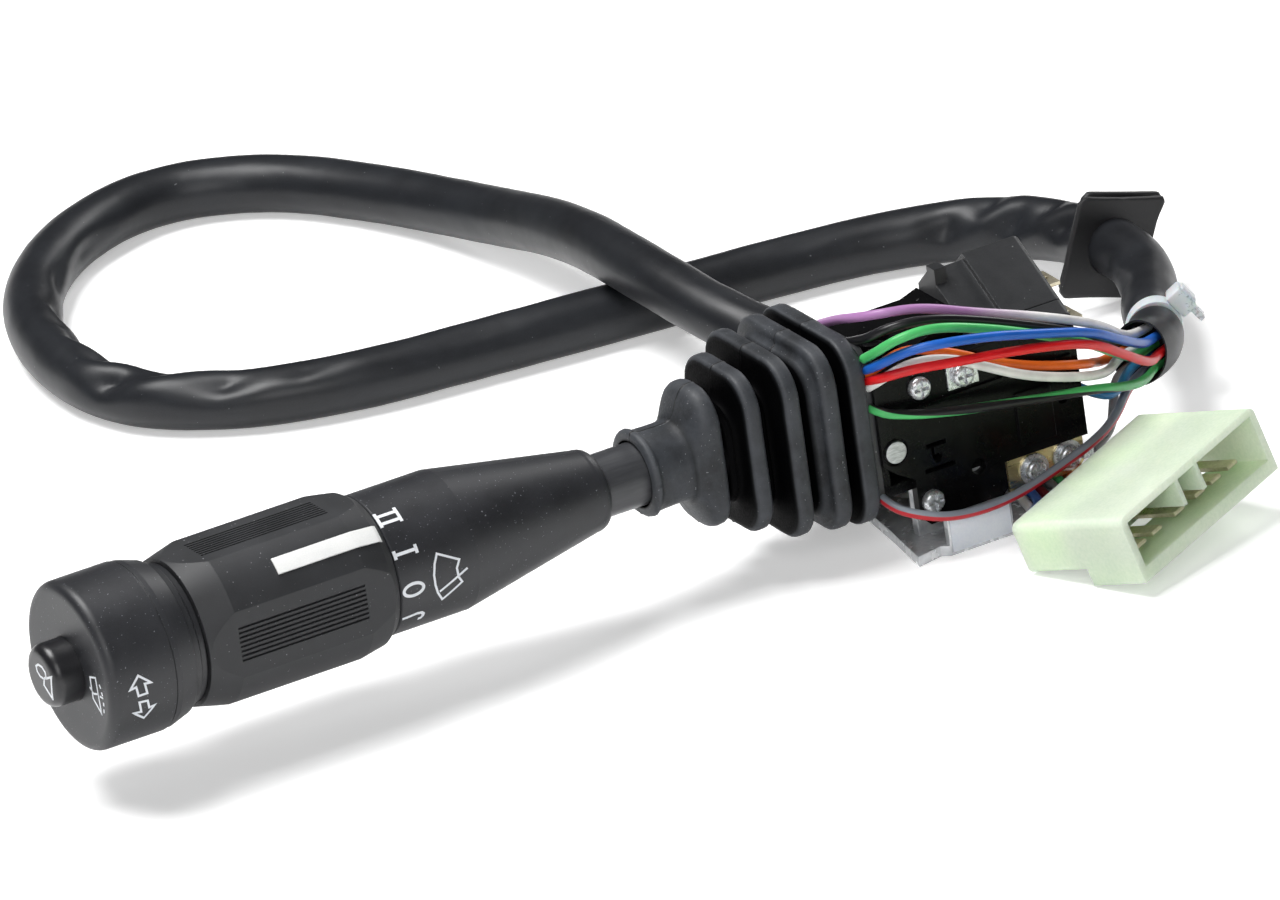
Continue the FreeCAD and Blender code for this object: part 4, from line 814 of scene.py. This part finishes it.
def turned_axes(along, roll):
    """Centre on the sheath's line, side, way and up there, the side and up turned about the way."""
    k = min(range(len(SHEATH_LINE)), key=lambda i: abs(SHEATH_LINE[i][0] - along * MM))
    way = (SHEATH_LINE[k + WAY_SPAN][1] - SHEATH_LINE[k - WAY_SPAN][1]).normalized()
    side = way.cross(Vector((0, 0, 1))).normalized()
    up = side.cross(way).normalized()
    a = math.radians(roll)
    turned_side = side * math.cos(a) - up * math.sin(a)
    turned_up = up * math.cos(a) + side * math.sin(a)
    return SHEATH_LINE[k][1], turned_side, way, turned_up


GROMMET_ALONG = 66.5
GROMMET_HALF = 9.4
GROMMET_ROLL = 16.0
GROMMET_CORNER = 1.32
GROMMET_HOLE = 5.2
PLATE_OUT = 2.4
PLATE_IN = 1.1


def grommet_plate(points, faces, near, far, warp, hole):
    """Square rubber plate with a round hole, bent by warp(u, v) which gives (du, dv, dw)."""
    centre, side, way, up = turned_axes(GROMMET_ALONG, GROMMET_ROLL)
    around = 96
    radial = (0.0, 0.12, 0.3, 0.5, 0.7, 0.86, 0.95, 1.0)
    rows = []
    for depth, shares in ((near, radial), (far, radial[::-1])):
        for share in shares:
            rows.append(len(points))
            for i in range(around):
                a = 2 * math.pi * i / around
                c, s = math.cos(a), math.sin(a)
                reach = GROMMET_HALF / max(abs(c), abs(s))
                reach = min(reach, GROMMET_HALF * GROMMET_CORNER)
                r = hole + (reach - hole) * share
                u, v = r * c, r * s
                du, dv, dw = warp(u, v)
                edge = 0.25 * max(0.0, (share - 0.95) / 0.05) * (1 if depth == near else -1)
                points.append(centre + (side * (u + du) + up * (v + dv) + way * (depth + dw + edge)) * MM)
    for k in range(len(rows)):
        a, b = rows[k], rows[(k + 1) % len(rows)]
        for i in range(around):
            j = (i + 1) % around
            faces.append((a + i, a + j, b + j, b + i))


def make_grommet():
    """The two bowed plates and the core between them."""
    points, faces = [], []
    h = GROMMET_HALF

    def near_warp(u, v):
        pull = -2.2 * max(0.0, u / h) ** 3 * (1 - (v / h) ** 2 * 0.9) + 1.3 * v / h
        curl = -0.7 * (max(0.0, -u / h) * max(0.0, -v / h)) ** 2 + 0.5 * (u / h) * (v / h)
        return pull, 0.25 * (u / h) ** 2 * (1 if v > 0 else -1), curl

    def far_warp(u, v):
        return 2.2 * max(0.0, -u / h) + 1.8 * v / h, 0.35 * max(0.0, v / h), 0.3 * (u / h) ** 2

    grommet_plate(points, faces, -PLATE_OUT, -PLATE_IN, near_warp, GROMMET_HOLE)
    grommet_plate(points, faces, PLATE_IN, PLATE_OUT, far_warp, GROMMET_HOLE)
    centre, side, way, up = turned_axes(GROMMET_ALONG, GROMMET_ROLL)
    around = 48
    rows = []
    for depth, r in ((-1.3, 5.3), (-1.3, 7.4), (1.3, 7.4), (1.3, 5.3)):
        rows.append(len(points))
        for i in range(around):
            a = 2 * math.pi * i / around
            points.append(centre + (side * (r * math.cos(a)) + up * (r * math.sin(a)) + way * depth) * MM)
    for k in range(4):
        a, b = rows[k], rows[(k + 1) % 4]
        for i in range(around):
            j = (i + 1) % around
            faces.append((a + i, a + j, b + j, b + i))
    piece = mesh_piece("panel_grommet", points, faces, grommet_rubber, 50)
    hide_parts("grommet")
    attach(piece, "base")


make_grommet()


def box_faces(points, faces, centre, axes, size, bevel):
    """Box with bevelled edges, added to a mesh's points and faces."""
    tool = bmesh.new()
    bmesh.ops.create_cube(tool, size=1.0)
    for v in tool.verts:
        v.co = Vector((v.co.x * size[0], v.co.y * size[1], v.co.z * size[2]))
    bmesh.ops.bevel(tool, geom=tool.edges[:], offset=bevel, segments=2, affect="EDGES", profile=0.5)
    start = len(points)
    tool.verts.index_update()
    for v in tool.verts:
        points.append(centre + (axes[0] * v.co.x + axes[1] * v.co.y + axes[2] * v.co.z) * MM)
    for f in tool.faces:
        faces.append(tuple(start + v.index for v in f.verts))
    tool.free()


def make_tie():
    """Band round the pinched sheath with its teeth, the head and the cut tail."""
    points, faces = [], []
    centre, side, way, up = turned_axes(TIE_ALONG, 0.0)
    around = 160
    profile = ((-1.9, 0.0), (-2.0, 0.25), (-1.9, 0.75), (-1.3, 0.85),
               (1.3, 0.85), (1.9, 0.75), (2.0, 0.25), (1.9, 0.0))
    tilt = 0.3
    band_r = 4.5
    tooth_depth = 0.12
    toothed_from = 0.8
    for i in range(around):
        a = 2 * math.pi * i / around
        tooth = tooth_depth if i % 2 else 0.0
        for w, r in profile:
            reach = band_r + r - (tooth if r > toothed_from else 0.0)
            lean = w + tilt * reach * math.cos(a)
            offset = side * (reach * math.cos(a)) + up * (reach * math.sin(a)) + way * lean
            points.append(centre + offset * MM)
    n = len(profile)
    for i in range(around):
        a, b = i * n, ((i + 1) % around) * n
        for k in range(n):
            faces.append((a + k, a + (k + 1) % n, b + (k + 1) % n, b + k))
    outward = (side * 0.8 + up * 0.6).normalized()
    along = (side * 0.6 - up * 0.8).normalized()
    axes = (outward, way, along)
    head = centre + (outward * 6.9 + way * 1.2) * MM
    box_faces(points, faces, head, axes, (3.4, 5.0, 5.0), 0.5)
    box_faces(points, faces, head + outward * 1.7 * MM, axes, (0.9, 3.4, 3.6), 0.2)
    tail = head + (outward * 0.5 + along * 3.6) * MM
    box_faces(points, faces, tail, axes, (1.1, 3.4, 3.6), 0.3)
    piece = mesh_piece("cable_tie_piece", points, faces, tie_nylon, 40)
    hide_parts("cable_tie")
    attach(piece, "base")


make_tie()


# Printed marks

STROKE_STEP = 0.5
MARK_LIFTS = (0.05, -0.15)
SHARPEST_MITRE = 0.45


def printed(name, strokes, width, place, body):
    """Thin strokes laid on a surface. place(u, v, lift) gives a point of the lever's frame."""
    points, faces = [], []
    for stroke in strokes:
        closed = stroke[0] == stroke[-1]
        line = []
        for a, b in zip(stroke, stroke[1:]):
            cuts = max(1, int(math.dist(a, b) / STROKE_STEP))
            line += [(a[0] + (b[0] - a[0]) * k / cuts, a[1] + (b[1] - a[1]) * k / cuts) for k in range(cuts)]
        if not closed:
            line.append(stroke[-1])
        count = len(line)
        start = len(points)
        for k, here in enumerate(line):
            before = line[(k - 1) % count] if closed or k > 0 else here
            after = line[(k + 1) % count] if closed or k < count - 1 else here
            d1 = Vector((here[0] - before[0], here[1] - before[1]))
            d2 = Vector((after[0] - here[0], after[1] - here[1]))
            d1 = d1.normalized() if d1.length > 1e-6 else d2.normalized()
            d2 = d2.normalized() if d2.length > 1e-6 else d1
            n1 = Vector((-d1.y, d1.x))
            n2 = Vector((-d2.y, d2.x))
            mitre = n1 + n2
            mitre = mitre.normalized() if mitre.length > 1e-3 else n1
            out = mitre * (width / 2 / max(SHARPEST_MITRE, mitre.dot(n1)))
            for sign in (1, -1):
                for lift in MARK_LIFTS:
                    points.append(at(*place(here[0] + sign * out.x, here[1] + sign * out.y, lift)))
        for k in range(count if closed else count - 1):
            a = start + 4 * k
            b = start + 4 * ((k + 1) % count)
            faces += [(a, b, b + 2, a + 2), (a + 1, a + 3, b + 3, b + 1),
                      (a, a + 1, b + 1, b), (a + 2, b + 2, b + 3, a + 3)]
        if not closed:
            a, b = start, start + 4 * (count - 1)
            faces += [(a, a + 2, a + 3, a + 1), (b, b + 1, b + 3, b + 2)]
    piece = mesh_piece(name, points, faces, paint_white, 60)
    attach(piece, body)


def on_barrel(radius):
    """Place on a barrel round the lever's axis: u along it, v round it from the front upwards."""
    def place(u, v, lift):
        a = v / radius
        r = radius + lift
        return (u, -r * math.cos(a), r * math.sin(a))
    return place


def on_face(x):
    """Place on a flat face across the lever, towards its end."""
    def place(u, v, lift):
        return (x - lift, u, v)
    return place


def oval(u, v, a, b, count=24):
    """Closed oval outline."""
    ring = [(u + a * math.cos(2 * math.pi * k / count), v + b * math.sin(2 * math.pi * k / count))
            for k in range(count)]
    return ring + ring[:1]


HANDLE_R = 13.4
CAP_R = 16.1
handle_surface = on_barrel(HANDLE_R)
printed("mark_two", (((-95.4, 11.7), (-95.4, 15.0)), ((-91.3, 11.7), (-91.3, 15.0)),
                     ((-95.4, 14.1), (-91.3, 14.1)), ((-95.4, 12.4), (-91.3, 12.4))),
        0.62, handle_surface, "lever")
printed("mark_one", (((-95.4, 5.2), (-95.4, 6.85)), ((-91.0, 5.2), (-91.0, 6.85)),
                     ((-95.4, 6.0), (-91.0, 6.0))), 0.62, handle_surface, "lever")
printed("mark_zero", (oval(-93.2, -1.2, 2.05, 1.2),), 0.6, handle_surface, "lever")
printed("mark_j", (((-95.4, -7.35), (-92.3, -7.1), (-91.4, -7.25), (-90.95, -7.8), (-91.0, -8.5),
                    (-91.3, -8.95), (-91.9, -9.0)),), 0.62, handle_surface, "lever")
printed("mark_wiper", (((-87.4, 3.9), (-88.3, 2.2), (-88.8, 0.2), (-88.75, -1.8), (-88.3, -3.6),
                        (-87.3, -5.55), (-83.2, -3.0), (-83.9, -1.7), (-84.05, 0.1), (-83.3, 1.55),
                        (-87.4, 3.9)),
                       ((-87.9, -3.5), (-81.9, -0.55))), 0.42, handle_surface, "lever")
cap_surface = on_barrel(CAP_R)
printed("mark_arrow_up", (((-151.65, 1.7), (-149.3, -0.35), (-150.6, -0.2), (-150.3, -2.2), (-152.1, -2.2),
                           (-152.4, -0.3), (-153.7, -0.5), (-151.65, 1.7)),), 0.42, cap_surface, "cap")
printed("mark_arrow_down", (((-152.0, -3.6), (-150.3, -3.8), (-149.95, -5.5), (-148.8, -5.3), (-150.9, -7.7),
                             (-153.2, -5.6), (-151.6, -5.9), (-152.0, -3.6)),), 0.42, cap_surface, "cap")
printed("mark_washer", (((-8.3, 0.9), (-10.5, 1.45), (-10.95, -5.5), (-8.4, -3.3), (-8.3, 0.9)),
                        ((-7.6, -1.3), (-8.9, -2.2), (-10.9, -1.7)),
                        ((-11.7, 0.5), (-12.1, -0.2)), ((-12.2, -0.9), (-12.4, -1.6)),
                        ((-11.3, -2.0), (-12.5, -2.0)), ((-12.4, -2.9), (-12.3, -3.6)),
                        ((-12.2, -4.3), (-12.0, -5.0))), 0.36, on_face(-157.5), "cap")
printed("mark_horn", (((1.2, 2.0), (0.2, 2.6), (-1.2, 2.5), (-2.2, 1.8), (-2.3, 0.9), (-1.4, 0.2), (0.1, 0.3),
                       (1.0, 1.0), (1.2, 2.0)),
                      ((-2.2, 0.6), (-4.3, 1.5), (-3.6, -2.9), (-1.0, -1.1), (-1.4, 0.2))),
        0.42, on_face(-163.3), "button")


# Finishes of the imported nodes

FINISHES = {
    "mounting_bracket": bracket_bright, "blank_label": label_vinyl, "housing_main": housing_black,
    "housing_front": housing_black, "boot_plate": block_black, "top_switch_block": block_black,
    "terminal_blades": tab_metal, "copper_strip": copper, "terminal_plate": zinc, "screws": zinc,
    "earth_strip": brass, "ring_terminals": zinc, "pivot_rivet": rivet_steel, "pivot_cradle": acetal,
    "dip_pin": spring_steel, "dip_return_spring": spring_steel, "detent_plunger": acetal,
    "detent_plate": acetal, "contact_slider": acetal, "contact_board": board, "contact_strips": brass,
    "lever_yoke": zinc, "lever_tube": steel, "lever_handle": charcoal, "detent_ball": spring_steel,
    "rotary_sleeve": sleeve_black, "index_bar": bar_white, "wiper_contact_ring": brass,
    "end_cap": charcoal, "cap_guide": cap_guide_black, "washer_spring": spring_steel,
    "horn_carrier": acetal, "horn_button": button_black, "horn_spring": spring_steel,
    "connector_housing": nylon, "connector_tabs": tab_metal,
}
for node_name, finish in FINISHES.items():
    data = nodes[node_name].data
    data.materials.clear()
    data.materials.append(finish)


# Floor, light and background

def shown_mask(tree):
    """1 for rays from the camera and through clear surfaces, else 0, and the node it comes from."""
    path = tree.nodes.new("ShaderNodeLightPath")
    first = calc(tree, "MAXIMUM", path.outputs["Is Camera Ray"], path.outputs["Is Transmission Ray"])
    return first, path


def make_floor():
    """Plain pale floor that keeps the shadow."""
    size = 6.0
    mesh = bpy.data.meshes.new("floor")
    corners = [(-size, -size, 0), (size, -size, 0), (size, size, 0), (-size, size, 0)]
    mesh.from_pydata(corners, [], [(0, 1, 2, 3)])
    mesh.update()
    mat = bpy.data.materials.new("floor_pale")
    mat.use_nodes = True
    tree = mat.node_tree
    bsdf = tree.nodes["Principled BSDF"]
    bsdf.inputs["Base Color"].default_value = (0.86, 0.86, 0.86, 1.0)
    bsdf.inputs["Roughness"].default_value = 0.9
    bsdf.inputs["Specular IOR Level"].default_value = 0.0
    bsdf.inputs["Emission Color"].default_value = (1.0, 1.0, 1.0, 1.0)
    mask, path = shown_mask(tree)
    mask = calc(tree, "MAXIMUM", mask, path.outputs["Is Glossy Ray"])
    away = tree.nodes.new("ShaderNodeVectorMath")
    away.operation = "LENGTH"
    tree.links.new(object_coords(tree), away.inputs[0])
    near, far = 0.5, 1.2
    near_glow, far_glow = 0.4, 1.0
    glow = spread(tree, away.outputs["Value"], near, far, near_glow, far_glow)
    tree.links.new(calc(tree, "MULTIPLY", mask, glow), bsdf.inputs["Emission Strength"])
    mesh.materials.append(mat)
    link("floor", mesh)


def make_lights():
    """Soft key from above, fill from the camera's side and a pale world."""
    for name, place, size, power in (
            ("key", (-0.35, 0.25, 1.1), 0.6, 17.0), ("fill", (-0.7, -1.1, 0.8), 0.8, 8.0),
            ("rim", (0.9, 0.5, 0.7), 0.4, 4.0)):
        data = bpy.data.lights.new(name, "AREA")
        data.size = size
        data.energy = power
        obj = link(name, data)
        target = at(-30.0, 30.0, 0.0)
        obj.location = place
        obj.rotation_mode = "QUATERNION"
        obj.rotation_quaternion = (target - Vector(place)).to_track_quat("-Z", "Y")
    world = bpy.data.worlds.new("world")
    world.use_nodes = True
    tree = world.node_tree
    background = tree.nodes["Background"]
    coords = tree.nodes.new("ShaderNodeTexCoord")
    split = tree.nodes.new("ShaderNodeSeparateXYZ")
    tree.links.new(coords.outputs["Generated"], split.inputs["Vector"])
    lit = spread(tree, split.outputs["Z"], -0.2, 0.9, 0.1, 0.5)
    mask, path = shown_mask(tree)
    lit = calc(tree, "MULTIPLY", lit, calc(tree, "ADD", 1.0, path.outputs["Is Glossy Ray"]))
    level = calc(tree, "ADD", calc(tree, "MULTIPLY", lit, calc(tree, "SUBTRACT", 1.0, mask)), mask)
    tree.links.new(level, background.inputs["Strength"])
    bpy.context.scene.world = world


make_floor()
make_lights()
bpy.context.scene.view_settings.view_transform = "Standard"
